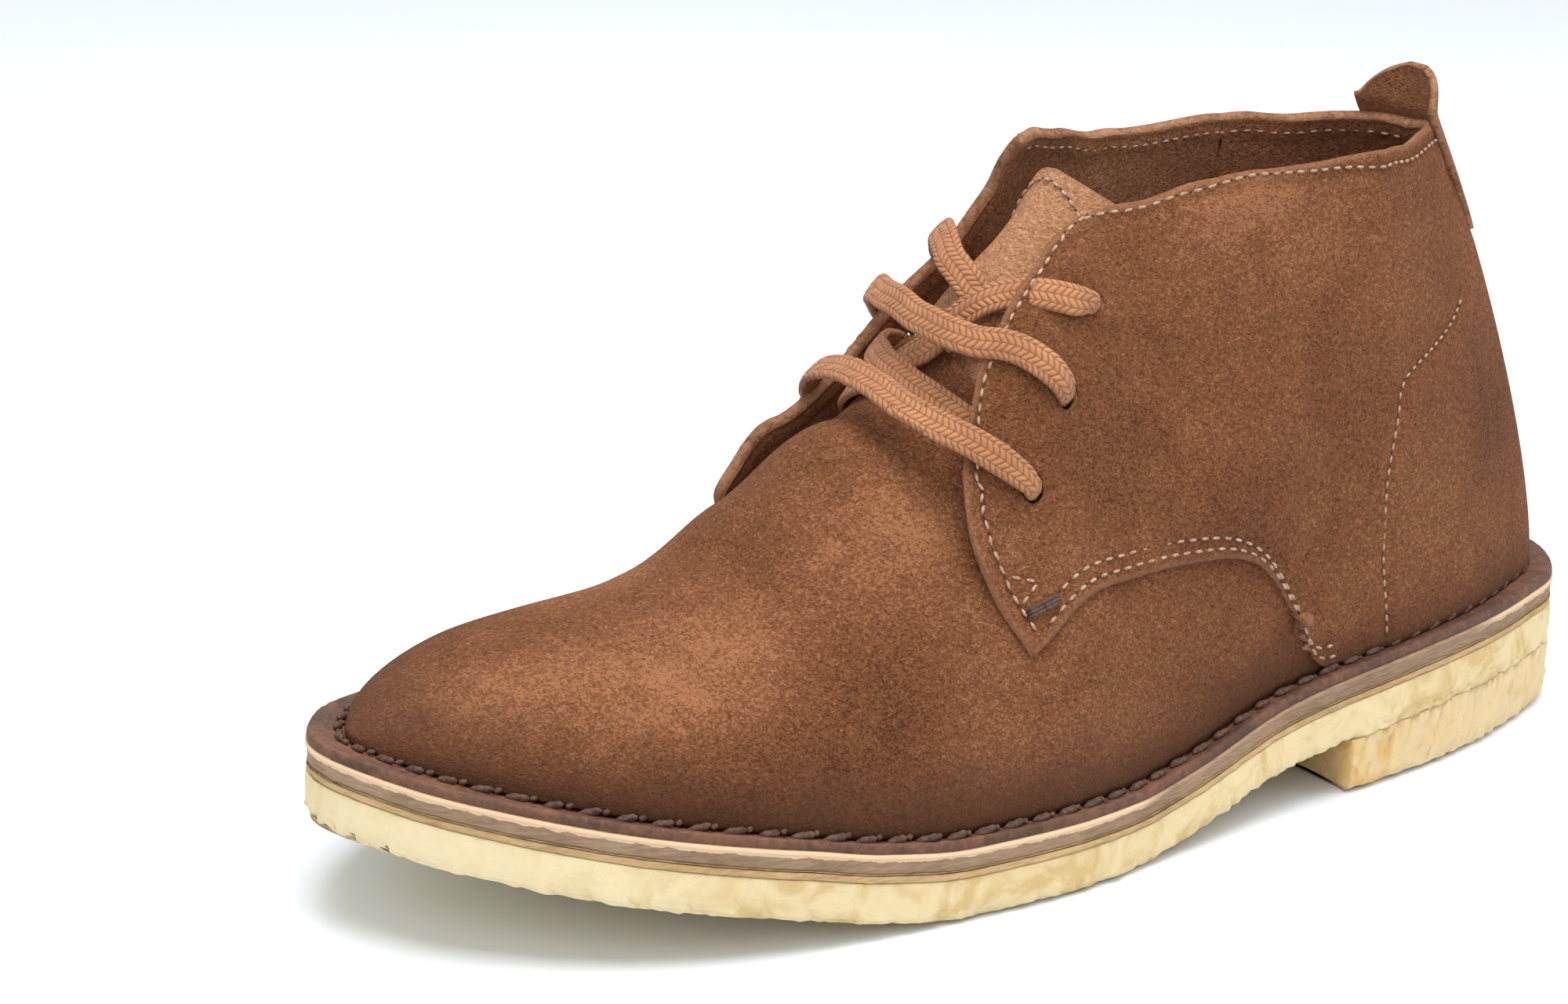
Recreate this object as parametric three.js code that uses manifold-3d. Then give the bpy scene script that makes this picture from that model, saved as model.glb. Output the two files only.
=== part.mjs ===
// Desert boot, left shoe, standing empty on its sole.
// Millimetres. +X points to the toe, +Y to the outer (lateral) side, +Z up.
// The origin is on the ground, in the middle of the sole's length and width.
import * as THREE from 'three';
import { mergeVertices } from 'three/addons/utils/BufferGeometryUtils.js';
import Module from 'manifold-3d';

const wasm = await Module();
wasm.setup();

// Driving sizes
const SOLE_LENGTH = 295;
const BALL_HALF_WIDTH = 53;
const TOE_SPRING = 19;
const HEEL_RISE = 13.4;
const HEEL_LENGTH = 87;
const CREPE = 8.2;
const BINDER = 1.9;
const MIDSOLE = 4;
const WELT = 1.6;
const WELT_MARGIN = 7;
const INSOLE = 3;
const INSOLE_EASE = 2;
const COLLAR_HEIGHT = 126;
const VAMP_HEIGHT = 62;
const WALL = 1.9;
const OVERLAY = 1.2;
const FLARE = 10;
const VAMP_LAP = 14;
const EYELET_BORE = 4.6;
const TONGUE = 2.2;
const TAB_WIDTH = 25;
const TAB_THICKNESS = 2;
const TAB_RISE = 9.5;
const TAB_LENGTH = 37;
const LACE_WIDTH = 7;
const LACE_THICKNESS = 2.2;
const SEAM = 0.3;

// Outline of the sole, heel to toe. at: share of the length. The side columns are shares
// of the half width at the ball, margin is the share of the widest welt left outside the upper.
const OUTLINE = [
  { at: 0, lateral: -0.085, medial: -0.085, margin: 1 },
  { at: 0.01, lateral: 0.14, medial: -0.34, margin: 1 },
  { at: 0.041, lateral: 0.362, medial: -0.56, margin: 0.97 },
  { at: 0.085, lateral: 0.488, medial: -0.672, margin: 0.88 },
  { at: 0.153, lateral: 0.632, medial: -0.736, margin: 0.72 },
  { at: 0.254, lateral: 0.743, medial: -0.717, margin: 0.6 },
  { at: 0.356, lateral: 0.794, medial: -0.651, margin: 0.57 },
  { at: 0.458, lateral: 0.896, medial: -0.632, margin: 0.52 },
  { at: 0.559, lateral: 1, medial: -0.698, margin: 0.46 },
  { at: 0.644, lateral: 1, medial: -0.821, margin: 0.43 },
  { at: 0.729, lateral: 0.962, medial: -0.925, margin: 0.43 },
  { at: 0.797, lateral: 0.9, medial: -0.935, margin: 0.49 },
  { at: 0.871, lateral: 0.745, medial: -0.845, margin: 0.63 },
  { at: 0.932, lateral: 0.515, medial: -0.655, margin: 0.8 },
  { at: 0.973, lateral: 0.27, medial: -0.445, margin: 0.94 },
  { at: 1, lateral: -0.132, medial: -0.132, margin: 1 },
];

// Height of the crepe sheet's underside. heel and toe are shares of the heel rise and toe spring.
const UNDERSIDE = [
  { at: 0, heel: 1, toe: 0 },
  { at: 0.136, heel: 1, toe: 0 },
  { at: 0.254, heel: 0.9, toe: 0 },
  { at: 0.356, heel: 0.64, toe: 0 },
  { at: 0.458, heel: 0.14, toe: 0 },
  { at: 0.51, heel: 0, toe: 0 },
  { at: 0.644, heel: 0, toe: 0 },
  { at: 0.712, heel: 0, toe: 0.12 },
  { at: 0.763, heel: 0, toe: 0.29 },
  { at: 0.864, heel: 0, toe: 0.58 },
  { at: 1, heel: 0, toe: 1 },
];

// Key sections of the last, from the back seam round to the toe tip. turn: angle of the plane
// about the heel's middle, at: share of the upper's length, axis: middle line, share of the ball's
// half width. shaft and vamp give the ridge's height as shares of the collar and vamp heights.
// belly and shoulder are the curve's two handles, out as shares of the foot's half width
// there and up as shares of the height from the welt to the ridge.
const SECTIONS = [
  { turn: 0, at: 0.242, axis: -0.066, shaft: 1.34, vamp: 0,
    bellyOut: 0.99, bellyUp: 0.18, shoulderOut: 0.4, shoulderUp: 0.86 },
  { turn: 45, at: 0.242, axis: -0.066, shaft: 1.34, vamp: 0,
    bellyOut: 1.0, bellyUp: 0.25, shoulderOut: 0.5, shoulderUp: 0.91 },
  { turn: 90, at: 0.242, axis: -0.066, shaft: 1.34, vamp: 0,
    bellyOut: 1.05, bellyUp: 0.35, shoulderOut: 0.66, shoulderUp: 1 },
  { turn: 90, at: 0.352, axis: -0.06, shaft: 1.29, vamp: 0,
    bellyOut: 1.04, bellyUp: 0.36, shoulderOut: 0.6, shoulderUp: 1 },
  { turn: 90, at: 0.438, axis: -0.045, shaft: 1.06, vamp: 0,
    bellyOut: 1.03, bellyUp: 0.4, shoulderOut: 0.5, shoulderUp: 1 },
  { turn: 90, at: 0.498, axis: -0.03, shaft: 0.925, vamp: 0,
    bellyOut: 1.02, bellyUp: 0.42, shoulderOut: 0.44, shoulderUp: 1 },
  { turn: 90, at: 0.562, axis: -0.01, shaft: 0.787, vamp: 0,
    bellyOut: 1.02, bellyUp: 0.46, shoulderOut: 0.42, shoulderUp: 1 },
  { turn: 90, at: 0.633, axis: 0.01, shaft: 0, vamp: 1.31,
    bellyOut: 1.02, bellyUp: 0.52, shoulderOut: 0.42, shoulderUp: 1 },
  { turn: 90, at: 0.689, axis: 0.02, shaft: 0, vamp: 1.13,
    bellyOut: 1.02, bellyUp: 0.58, shoulderOut: 0.44, shoulderUp: 1 },
  { turn: 90, at: 0.74, axis: 0.02, shaft: 0, vamp: 0.92,
    bellyOut: 1.02, bellyUp: 0.64, shoulderOut: 0.47, shoulderUp: 1 },
  { turn: 90, at: 0.815, axis: 0, shaft: 0, vamp: 0.8,
    bellyOut: 1.02, bellyUp: 0.72, shoulderOut: 0.52, shoulderUp: 1 },
  { turn: 90, at: 0.888, axis: -0.04, shaft: 0, vamp: 0.755,
    bellyOut: 1.01, bellyUp: 0.72, shoulderOut: 0.54, shoulderUp: 1 },
  { turn: 90, at: 0.95, axis: -0.09, shaft: 0, vamp: 0.685,
    bellyOut: 1, bellyUp: 0.68, shoulderOut: 0.54, shoulderUp: 1 },
  { turn: 90, at: 0.984, axis: -0.122, shaft: 0, vamp: 0.61,
    bellyOut: 1, bellyUp: 0.62, shoulderOut: 0.5, shoulderUp: 1 },
  { turn: 90, at: 1, axis: -0.132, shaft: 0, vamp: 0.565,
    bellyOut: 1, bellyUp: 0.6, shoulderOut: 0.5, shoulderUp: 1 },
];
const STEPS_PER_SECTION = [4, 4, 2, 2, 2, 2, 2, 2, 2, 2, 2, 2, 2, 2];
const RISE_STEPS = 12;

// Collar seen from the side. at: share of the sole's length, heights: shares of the collar height.
const COLLAR_LINE = [
  { at: -0.1, lateral: 1, medial: 1 },
  { at: 0.14, lateral: 1, medial: 1 },
  { at: 0.36, lateral: 1, medial: 1 },
  { at: 0.42, lateral: 0.984, medial: 1 },
  { at: 0.46, lateral: 0.96, medial: 0.995 },
  { at: 0.485, lateral: 0.94, medial: 0.965 },
  { at: 0.51, lateral: 0.915, medial: 0.9 },
  { at: 0.54, lateral: 0.86, medial: 0.84 },
];
// The quarter's lower front: facing, corner, and the arch back to the welt
const QUARTER_LINE = [
  { lateral: 0.632, medial: 0.69, up: 1.3 },
  { lateral: 0.622, medial: 0.68, up: 0.62 },
  { lateral: 0.616, medial: 0.676, up: 0.54 },
  { lateral: 0.605, medial: 0.666, up: 0.463 },
  { lateral: 0.588, medial: 0.642, up: 0.374 },
  { lateral: 0.532, medial: 0.58, up: 0.426 },
  { lateral: 0.476, medial: 0.51, up: 0.443 },
  { lateral: 0.428, medial: 0.456, up: 0.44 },
  { lateral: 0.38, medial: 0.4, up: 0.4 },
  { lateral: 0.348, medial: 0.366, up: 0.31 },
  { lateral: 0.31, medial: 0.328, up: 0.2 },
  { lateral: 0.28, medial: 0.298, up: 0.05 },
];
// The throat seen from above: half opening between the facings, shares of the ball's half width
const THROAT = [
  { at: 0.39, lateral: 0.16, medial: 0.12 },
  { at: 0.43, lateral: 0.25, medial: 0.18 },
  { at: 0.46, lateral: 0.29, medial: 0.23 },
  { at: 0.485, lateral: 0.302, medial: 0.27 },
  { at: 0.51, lateral: 0.31, medial: 0.32 },
  { at: 0.541, lateral: 0.347, medial: 0.375 },
  { at: 0.569, lateral: 0.424, medial: 0.42 },
  { at: 0.596, lateral: 0.496, medial: 0.46 },
  { at: 0.616, lateral: 0.57, medial: 0.49 },
  { at: 0.64, lateral: 0.68, medial: 0.53 },
  { at: 0.665, lateral: 0.8, medial: 0.59 },
  { at: 0.69, lateral: 0.9, medial: 0.67 },
];
// How far the facings stand off the last, in shares of the flare. at: share of the upper's length.
const FLARE_LINE = [
  { at: 0.36, lateral: 0, medial: 0 },
  { at: 0.4, lateral: 0.02, medial: 0.01 },
  { at: 0.45, lateral: 0.28, medial: 0.12 },
  { at: 0.5, lateral: 0.7, medial: 0.4 },
  { at: 0.56, lateral: 0.9, medial: 0.8 },
  { at: 0.6, lateral: 0.9, medial: 1 },
  { at: 0.64, lateral: 0.65, medial: 1 },
  { at: 0.68, lateral: 0.35, medial: 0.65 },
  { at: 0.74, lateral: 0.05, medial: 0.12 },
  { at: 0.8, lateral: 0, medial: 0 },
];
const FLARE_FROM = 0.33;
const FLARE_FULL = 0.8;
// Eyelets, bottom to top. section: place among the key sections, share: way from welt to ridge.
const EYELETS = [
  { section: 6.01, share: 0.503 },
  { section: 5.49, share: 0.581 },
  { section: 4.83, share: 0.661 },
];
// The tongue, top to front. share: where its edge lies, on the way from welt to ridge.
const TONGUE_LINE = [
  { section: 4.45, share: 0.82 },
  { section: 4.49, share: 0.73 },
  { section: 4.58, share: 0.64 },
  { section: 4.8, share: 0.58 },
  { section: 5.2, share: 0.56 },
  { section: 6, share: 0.58 },
  { section: 6.85, share: 0.64 },
];

// The lace's strands. section and share: place on the last, side: 1 lateral, -1 medial.
// stand: height above the tongue, share of the facings' flare.
const LOWER_BAR = [
  { section: 6.02, side: 1, share: 0.505, stand: 0.64 },
  { section: 6.22, side: 1, share: 0.593, stand: 0.89 },
  { section: 6.35, side: 1, share: 0.648, stand: 1.04 },
  { section: 6.53, side: 1, share: 0.727, stand: 1.08 },
  { section: 6.68, side: 1, share: 0.82, stand: 1 },
  { section: 6.74, side: 1, share: 0.93, stand: 0.92 },
  { section: 6.68, side: -1, share: 0.9, stand: 0.92 },
  { section: 6.56, side: -1, share: 0.76, stand: 1.04 },
  { section: 6.4, side: -1, share: 0.65, stand: 1.03 },
  { section: 6.24, side: -1, share: 0.56, stand: 0.8 },
  { section: 6.02, side: -1, share: 0.503, stand: 0.61 },
];
const MIDDLE_BAR = [
  { section: 5.5, side: 1, share: 0.585, stand: 0.83 },
  { section: 5.6, side: 1, share: 0.635, stand: 0.98 },
  { section: 5.76, side: 1, share: 0.698, stand: 1.15 },
  { section: 5.93, side: 1, share: 0.756, stand: 1.15 },
  { section: 6.03, side: 1, share: 0.844, stand: 1 },
  { section: 6.06, side: 1, share: 0.94, stand: 0.92 },
  { section: 6, side: -1, share: 0.9, stand: 0.95 },
  { section: 5.84, side: -1, share: 0.76, stand: 1.02 },
  { section: 5.66, side: -1, share: 0.665, stand: 0.92 },
  { section: 5.5, side: -1, share: 0.581, stand: 0.69 },
];
const TOP_STRAND = [
  { section: 4.86, side: 1, share: 0.661, stand: 0.86 },
  { section: 5.08, side: 1, share: 0.695, stand: 0.98 },
  { section: 5.3, side: 1, share: 0.735, stand: 1 },
  { section: 5.6, side: 1, share: 0.8, stand: 0.75 },
  { section: 5.9, side: 1, share: 0.86, stand: 0.5 },
  { section: 6.22, side: 1, share: 0.93, stand: 0.3 },
  { section: 6.45, side: -1, share: 0.97, stand: 0.26 },
  { section: 6.6, side: -1, share: 0.86, stand: 0.26 },
];
const RETURN_STRAND = [
  { section: 4.84, side: -1, share: 0.655, stand: 0.62 },
  { section: 5, side: -1, share: 0.71, stand: 0.74 },
  { section: 5.25, side: -1, share: 0.82, stand: 0.76 },
  { section: 5.5, side: -1, share: 0.98, stand: 0.7 },
  { section: 5.68, side: 1, share: 0.87, stand: 0.5 },
  { section: 5.74, side: 1, share: 0.79, stand: 0.26 },
];
const UNDER_STRAND = [
  { section: 6.22, side: -1, share: 0.82, stand: 0.36 },
  { section: 6.36, side: -1, share: 0.93, stand: 0.42 },
  { section: 6.45, side: 1, share: 0.93, stand: 0.4 },
  { section: 6.42, side: 1, share: 0.82, stand: 0.3 },
  { section: 6.3, side: 1, share: 0.71, stand: 0.27 },
];

// Smooth curve through a table's column that never overshoots its rows
function column(rows, key, along) {
  const n = rows.length;
  const x = rows.map((row) => row[along]);
  const y = rows.map((row) => row[key]);
  const slope = [];
  for (let i = 0; i < n - 1; i += 1) slope.push((y[i + 1] - y[i]) / (x[i + 1] - x[i]));
  const grade = [slope[0]];
  for (let i = 1; i < n - 1; i += 1) {
    const same = slope[i - 1] * slope[i] > 0;
    grade.push(same ? (2 * slope[i - 1] * slope[i]) / (slope[i - 1] + slope[i]) : 0);
  }
  grade.push(slope[n - 2]);
  return (at) => {
    let i = 0;
    while (i < n - 2 && at > x[i + 1]) i += 1;
    const span = x[i + 1] - x[i];
    const t = THREE.MathUtils.clamp((at - x[i]) / span, 0, 1);
    const back = 1 - t;
    return y[i] * back * back * (1 + 2 * t) + grade[i] * span * t * back * back
      + y[i + 1] * t * t * (3 - 2 * t) - grade[i + 1] * span * t * t * back;
  };
}

// Outline of the sole as a closed loop of points, counter-clockwise from above
const heelX = -SOLE_LENGTH / 2;
const OUTLINE_STEPS = 360;

function outlineCurve(shrink) {
  const rows = OUTLINE;
  const inner = rows.slice(1, -1);
  const medial = [rows[0], ...inner.map((row) => ({ ...row, side: row.medial }))];
  const lateral = [rows[rows.length - 1], ...inner.map((row) => ({ ...row, side: row.lateral })).reverse()];
  const loop = [...medial, ...lateral];
  const points = loop.map((row) => new THREE.Vector3(
    row.at * SOLE_LENGTH, (row.side ?? row.medial) * BALL_HALF_WIDTH, row.margin * WELT_MARGIN));
  const curve = new THREE.CatmullRomCurve3(points, true, 'centripetal');
  const fine = curve.getPoints(OUTLINE_STEPS).slice(0, OUTLINE_STEPS);
  return fine.map((point, i) => {
    const before = fine[(i + OUTLINE_STEPS - 1) % OUTLINE_STEPS];
    const after = fine[(i + 1) % OUTLINE_STEPS];
    const outward = new THREE.Vector2(after.y - before.y, before.x - after.x).normalize();
    const inset = shrink(point.z);
    return new THREE.Vector2(point.x - outward.x * inset, point.y - outward.y * inset);
  });
}

const solePlan = outlineCurve(() => 0);
const soleMiddle = (Math.max(...solePlan.map((p) => p.y)) + Math.min(...solePlan.map((p) => p.y))) / 2;
const centred = (loop) => loop.map((p) => new THREE.Vector2(p.x + heelX, p.y - soleMiddle));
const soleLoop = centred(solePlan);
const featherLoop = centred(outlineCurve((margin) => margin));
const weltInnerLoop = centred(outlineCurve((margin) => margin + WALL));
const insoleLoop = centred(outlineCurve((margin) => margin + WALL + INSOLE_EASE));

// Heights that depend only on the place along the sole
const heelShare = column(UNDERSIDE, 'heel', 'at');
const toeShare = column(UNDERSIDE, 'toe', 'at');
const along = (x) => THREE.MathUtils.clamp((x - heelX) / SOLE_LENGTH, 0, 1);
const underside = (x) => heelShare(along(x)) * HEEL_RISE + toeShare(along(x)) * TOE_SPRING;
const binderBase = (x) => underside(x) + CREPE;
const midsoleBase = (x) => binderBase(x) + BINDER;
const weltBase = (x) => midsoleBase(x) + MIDSOLE;
const featherHeight = (x) => weltBase(x) + WELT + SEAM;

// Where a plane across the shoe meets a loop: the lowest and highest Y at x
function reach(loop, x) {
  const hits = [];
  loop.forEach((a, i) => {
    const b = loop[(i + 1) % loop.length];
    if ((a.x - x) * (b.x - x) < 0) hits.push(a.y + ((b.y - a.y) * (x - a.x)) / (b.x - a.x));
  });
  return { medial: Math.min(...hits), lateral: Math.max(...hits) };
}

// Distance from a point to the loop in one direction
function distanceTo(loop, from, direction) {
  let best = 0;
  loop.forEach((a, i) => {
    const b = loop[(i + 1) % loop.length];
    const ab = b.clone().sub(a);
    const cross = direction.x * ab.y - direction.y * ab.x;
    const gap = a.clone().sub(from);
    const far = (gap.x * ab.y - gap.y * ab.x) / cross;
    const share = (gap.x * direction.y - gap.y * direction.x) / cross;
    if (share >= 0 && share <= 1 && far > best) best = far;
  });
  return best;
}

// Mesh and solid helpers
function geometryOf(points, triangles) {
  const geometry = new THREE.BufferGeometry();
  const flat = points.flatMap((p) => [p.x, p.y, p.z]);
  geometry.setAttribute('position', new THREE.Float32BufferAttribute(flat, 3));
  geometry.setIndex(triangles.flat());
  return geometry;
}

function solidOf(geometry) {
  const bare = geometry.clone();
  bare.deleteAttribute('normal');
  bare.deleteAttribute('uv');
  const merged = mergeVertices(bare, 1e-4);
  const index = merged.index.array;
  const kept = [];
  for (let i = 0; i < index.length; i += 3) {
    const [a, b, c] = [index[i], index[i + 1], index[i + 2]];
    if (a !== b && b !== c && c !== a) kept.push(a, b, c);
  }
  return new wasm.Manifold(new wasm.Mesh({
    numProp: 3,
    vertProperties: new Float32Array(merged.attributes.position.array),
    triVerts: new Uint32Array(kept),
  }));
}

function geometryFrom(solid) {
  const mesh = solid.getMesh();
  const geometry = new THREE.BufferGeometry();
  geometry.setAttribute('position', new THREE.BufferAttribute(new Float32Array(mesh.vertProperties), 3));
  geometry.setIndex(new THREE.BufferAttribute(new Uint32Array(mesh.triVerts), 1));
  return geometry;
}

const group = new THREE.Group();

function addPiece(name, geometry, color, roughness) {
  const bare = geometry.clone();
  bare.deleteAttribute('normal');
  const faces = bare.toNonIndexed();
  faces.computeVertexNormals();
  const mesh = new THREE.Mesh(faces, new THREE.MeshStandardMaterial({ color, roughness, metalness: 0 }));
  mesh.name = name;
  group.add(mesh);
}

// A closed solid between two grids of the same size, each point paired with the one across the wall
function slab(top, bottom) {
  const rows = top.length;
  const cols = top[0].length;
  const points = [...top.flat(), ...bottom.flat()];
  const id = (side, i, j) => side * rows * cols + i * cols + j;
  const triangles = [];
  const quad = (a, b, c, d) => triangles.push([a, b, c], [a, c, d]);
  for (let i = 0; i < rows - 1; i += 1) {
    for (let j = 0; j < cols - 1; j += 1) {
      quad(id(0, i, j), id(0, i + 1, j), id(0, i + 1, j + 1), id(0, i, j + 1));
      quad(id(1, i, j), id(1, i, j + 1), id(1, i + 1, j + 1), id(1, i + 1, j));
    }
  }
  for (let i = 0; i < rows - 1; i += 1) {
    quad(id(0, i, 0), id(1, i, 0), id(1, i + 1, 0), id(0, i + 1, 0));
    quad(id(0, i, cols - 1), id(0, i + 1, cols - 1), id(1, i + 1, cols - 1), id(1, i, cols - 1));
  }
  for (let j = 0; j < cols - 1; j += 1) {
    quad(id(0, 0, j), id(0, 0, j + 1), id(1, 0, j + 1), id(1, 0, j));
    quad(id(0, rows - 1, j), id(1, rows - 1, j), id(1, rows - 1, j + 1), id(0, rows - 1, j + 1));
  }
  return geometryOf(points, triangles);
}

// Layers of the sole: full sheets with the outline of a loop
const SHEET_STEPS = 44;

function sheet(loop, fromX, toX, base, top) {
  const crossings = [];
  const first = Math.min(...loop.map((p) => p.x));
  const last = Math.max(...loop.map((p) => p.x));
  const start = Math.max(fromX, first);
  const end = Math.min(toX, last);
  const roundStart = start === first;
  const roundEnd = end === last;
  for (let i = 0; i <= SHEET_STEPS; i += 1) {
    const t = i / SHEET_STEPS;
    let share = t;
    if (roundStart && roundEnd) share = (1 - Math.cos(Math.PI * t)) / 2;
    if (roundStart && !roundEnd) share = 1 - Math.cos((Math.PI * t) / 2);
    const x = THREE.MathUtils.lerp(start, end, share);
    const tip = loop.find((p) => p.x === x);
    crossings.push({ x, ...(tip ? { medial: tip.y, lateral: tip.y } : reach(loop, x)) });
  }
  const grid = (height) => crossings.map((c) => [
    new THREE.Vector3(c.x, c.medial, height(c.x)), new THREE.Vector3(c.x, c.lateral, height(c.x))]);
  return geometryFrom(solidOf(slab(grid(top), grid(base))));
}

const everywhere = [-Infinity, Infinity];
addPiece('outsole', sheet(soleLoop, ...everywhere, underside, (x) => underside(x) + CREPE), 0xe3cf9c, 0.75);
addPiece('binder', sheet(soleLoop, ...everywhere, (x) => binderBase(x) + SEAM, midsoleBase), 0xb89a6a, 0.8);
addPiece('midsole', sheet(soleLoop, ...everywhere, (x) => midsoleBase(x) + SEAM, weltBase), 0xa98f76, 0.85);
const heelBlock = sheet(soleLoop, -Infinity, heelX + HEEL_LENGTH, () => 0, (x) => underside(x) - SEAM);
addPiece('heel', heelBlock, 0xdfc58c, 0.75);
const insole = sheet(insoleLoop, ...everywhere, (x) => weltBase(x) + SEAM, (x) => weltBase(x) + INSOLE);
addPiece('insole', insole, 0x9c7350, 0.8);

// Welt: a strip round the upper's foot
function ring(outer, inner, base, top, every) {
  const kept = outer.map((_, i) => i).filter((i) => i % every === 0);
  kept.push(kept[0]);
  const at = (loop, height) => kept.map((i) => new THREE.Vector3(loop[i].x, loop[i].y, height(loop[i].x)));
  const rows = [at(outer, base), at(outer, top), at(inner, top), at(inner, base), at(outer, base)];
  const points = rows.flat();
  const triangles = [];
  const n = kept.length;
  for (let side = 0; side < 4; side += 1) {
    for (let i = 0; i < n - 1; i += 1) {
      const a = side * n + i;
      const b = (side + 1) * n + i;
      triangles.push([a, a + 1, b + 1], [a, b + 1, b]);
    }
  }
  return geometryFrom(solidOf(geometryOf(points, triangles)));
}
const welt = ring(soleLoop, weltInnerLoop, (x) => weltBase(x) + SEAM, (x) => weltBase(x) + WELT, 4);
addPiece('welt', welt, 0x4a2c22, 0.7);

// The last: planes round the heel's middle, then across the foot up to the toe tip
const featherBack = Math.min(...featherLoop.map((p) => p.x));
const featherTip = featherLoop.reduce((a, b) => (b.x > a.x ? b : a));
const featherX = (at) => THREE.MathUtils.lerp(featherBack, featherTip.x, at);
SECTIONS.forEach((row, i) => {
  row.order = i;
  row.ridge = row.shaft * COLLAR_HEIGHT + row.vamp * VAMP_HEIGHT;
});
const lastKeys = ['turn', 'at', 'axis', 'ridge', 'bellyOut', 'bellyUp', 'shoulderOut', 'shoulderUp'];
const lastColumn = Object.fromEntries(lastKeys.map((key) => [key, column(SECTIONS, key, 'order')]));

function sectionAt(order) {
  const row = Object.fromEntries(lastKeys.map((key) => [key, lastColumn[key](order)]));
  const tip = order >= SECTIONS.length - 1;
  const x = featherX(row.at);
  const middle = tip ? featherTip.y : row.axis * BALL_HALF_WIDTH - soleMiddle;
  const centre = new THREE.Vector2(x, middle);
  const angle = THREE.MathUtils.degToRad(row.turn);
  const foot = {};
  for (const side of [1, -1]) {
    const direction = new THREE.Vector2(-Math.cos(angle), side * Math.sin(angle));
    foot[side] = { direction, out: tip ? 0 : distanceTo(featherLoop, centre, direction) };
  }
  return { row, centre, foot, mean: (foot[1].out + foot[-1].out) / 2 };
}

function sectionPoint(section, side, share) {
  const { row, centre, foot, mean } = section;
  const { direction, out } = foot[side];
  const footPoint = centre.clone().addScaledVector(direction, out);
  const base = featherHeight(footPoint.x);
  const tall = row.ridge - base;
  const back = 1 - share;
  const weights = [back ** 3, 3 * back * back * share, 3 * back * share * share, share ** 3];
  const outs = [out, out * row.bellyOut, mean * row.shoulderOut, 0];
  const ups = [base, base + tall * row.bellyUp, base + tall * row.shoulderUp, row.ridge];
  const r = weights.reduce((sum, w, i) => sum + w * outs[i], 0);
  const z = weights.reduce((sum, w, i) => sum + w * ups[i], 0);
  return new THREE.Vector3(centre.x + direction.x * r, centre.y + direction.y * r, z);
}

const flareColumn = {
  1: column(FLARE_LINE, 'lateral', 'at'),
  '-1': column(FLARE_LINE, 'medial', 'at'),
};

function flareAt(section, side, share) {
  const rising = THREE.MathUtils.smoothstep(share, FLARE_FROM, FLARE_FULL);
  return FLARE * flareColumn[side](section.row.at) * rising;
}

const orders = [0];
STEPS_PER_SECTION.forEach((steps, i) => {
  for (let k = 1; k <= steps; k += 1) orders.push(i + k / steps);
});
const sections = orders.map(sectionAt);

// The last's skin as merged points with outward directions, ready to be grown or shrunk
function lastSkin() {
  const points = [];
  const flares = [];
  const triangles = [];
  for (const side of [1, -1]) {
    const start = points.length;
    sections.forEach((section) => {
      for (let j = 0; j <= RISE_STEPS; j += 1) {
        points.push(sectionPoint(section, side, j / RISE_STEPS));
        flares.push(flareAt(section, j === RISE_STEPS ? 1 : side, j / RISE_STEPS));
      }
    });
    const id = (i, j) => start + i * (RISE_STEPS + 1) + j;
    for (let i = 0; i < sections.length - 1; i += 1) {
      for (let j = 0; j < RISE_STEPS; j += 1) {
        const quad = [id(i, j), id(i + 1, j), id(i + 1, j + 1), id(i, j + 1)];
        if (side > 0) quad.reverse();
        triangles.push([quad[0], quad[1], quad[2]], [quad[0], quad[2], quad[3]]);
      }
    }
  }
  const loose = geometryOf(points, triangles);
  loose.setAttribute('flare', new THREE.Float32BufferAttribute(flares, 1));
  const merged = mergeVertices(loose, 1e-3);
  const index = merged.index.array;
  const kept = [];
  for (let i = 0; i < index.length; i += 3) {
    const [a, b, c] = [index[i], index[i + 1], index[i + 2]];
    if (a !== b && b !== c && c !== a) kept.push(a, b, c);
  }
  merged.setIndex(kept);
  merged.computeVertexNormals();
  return merged;
}

const skin = lastSkin();

function grown(distance, flared) {
  const { position, normal, flare } = skin.attributes;
  return Array.from({ length: position.count }, (_, i) => {
    const point = new THREE.Vector3().fromBufferAttribute(position, i);
    const outward = new THREE.Vector3().fromBufferAttribute(normal, i);
    const onRim = Math.abs(point.z - featherHeight(point.x)) < 1e-3;
    if (onRim) outward.setZ(0).normalize();
    return point.addScaledVector(outward, distance + (flared ? flare.getX(i) : 0));
  });
}

// A hollow shell between two distances from the last, open underneath
function shell(inside, outside, flared) {
  const outer = grown(outside, flared);
  const inner = grown(inside, flared);
  const count = outer.length;
  const index = Array.from(skin.index.array);
  const triangles = [];
  const edges = new Map();
  for (let i = 0; i < index.length; i += 3) {
    const face = [index[i], index[i + 1], index[i + 2]];
    triangles.push(face, [face[0] + count, face[2] + count, face[1] + count]);
    face.forEach((a, k) => {
      const b = face[(k + 1) % 3];
      const twin = `${b},${a}`;
      if (edges.has(twin)) edges.delete(twin);
      else edges.set(`${a},${b}`, [a, b]);
    });
  }
  for (const [a, b] of edges.values()) triangles.push([b, a, a + count], [b, a + count, b + count]);
  return solidOf(geometryOf([...outer, ...inner], triangles));
}

// A flat pattern extruded right through the shoe, standing up or lying across
const FAR = 2 * SOLE_LENGTH;

function acrossPrism(points, fromY, toY) {
  const shape = new THREE.Shape(points);
  const geometry = new THREE.ExtrudeGeometry(shape, { depth: toY - fromY, bevelEnabled: false });
  geometry.rotateX(Math.PI / 2);
  geometry.translate(0, toY, 0);
  return solidOf(geometry);
}

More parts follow.
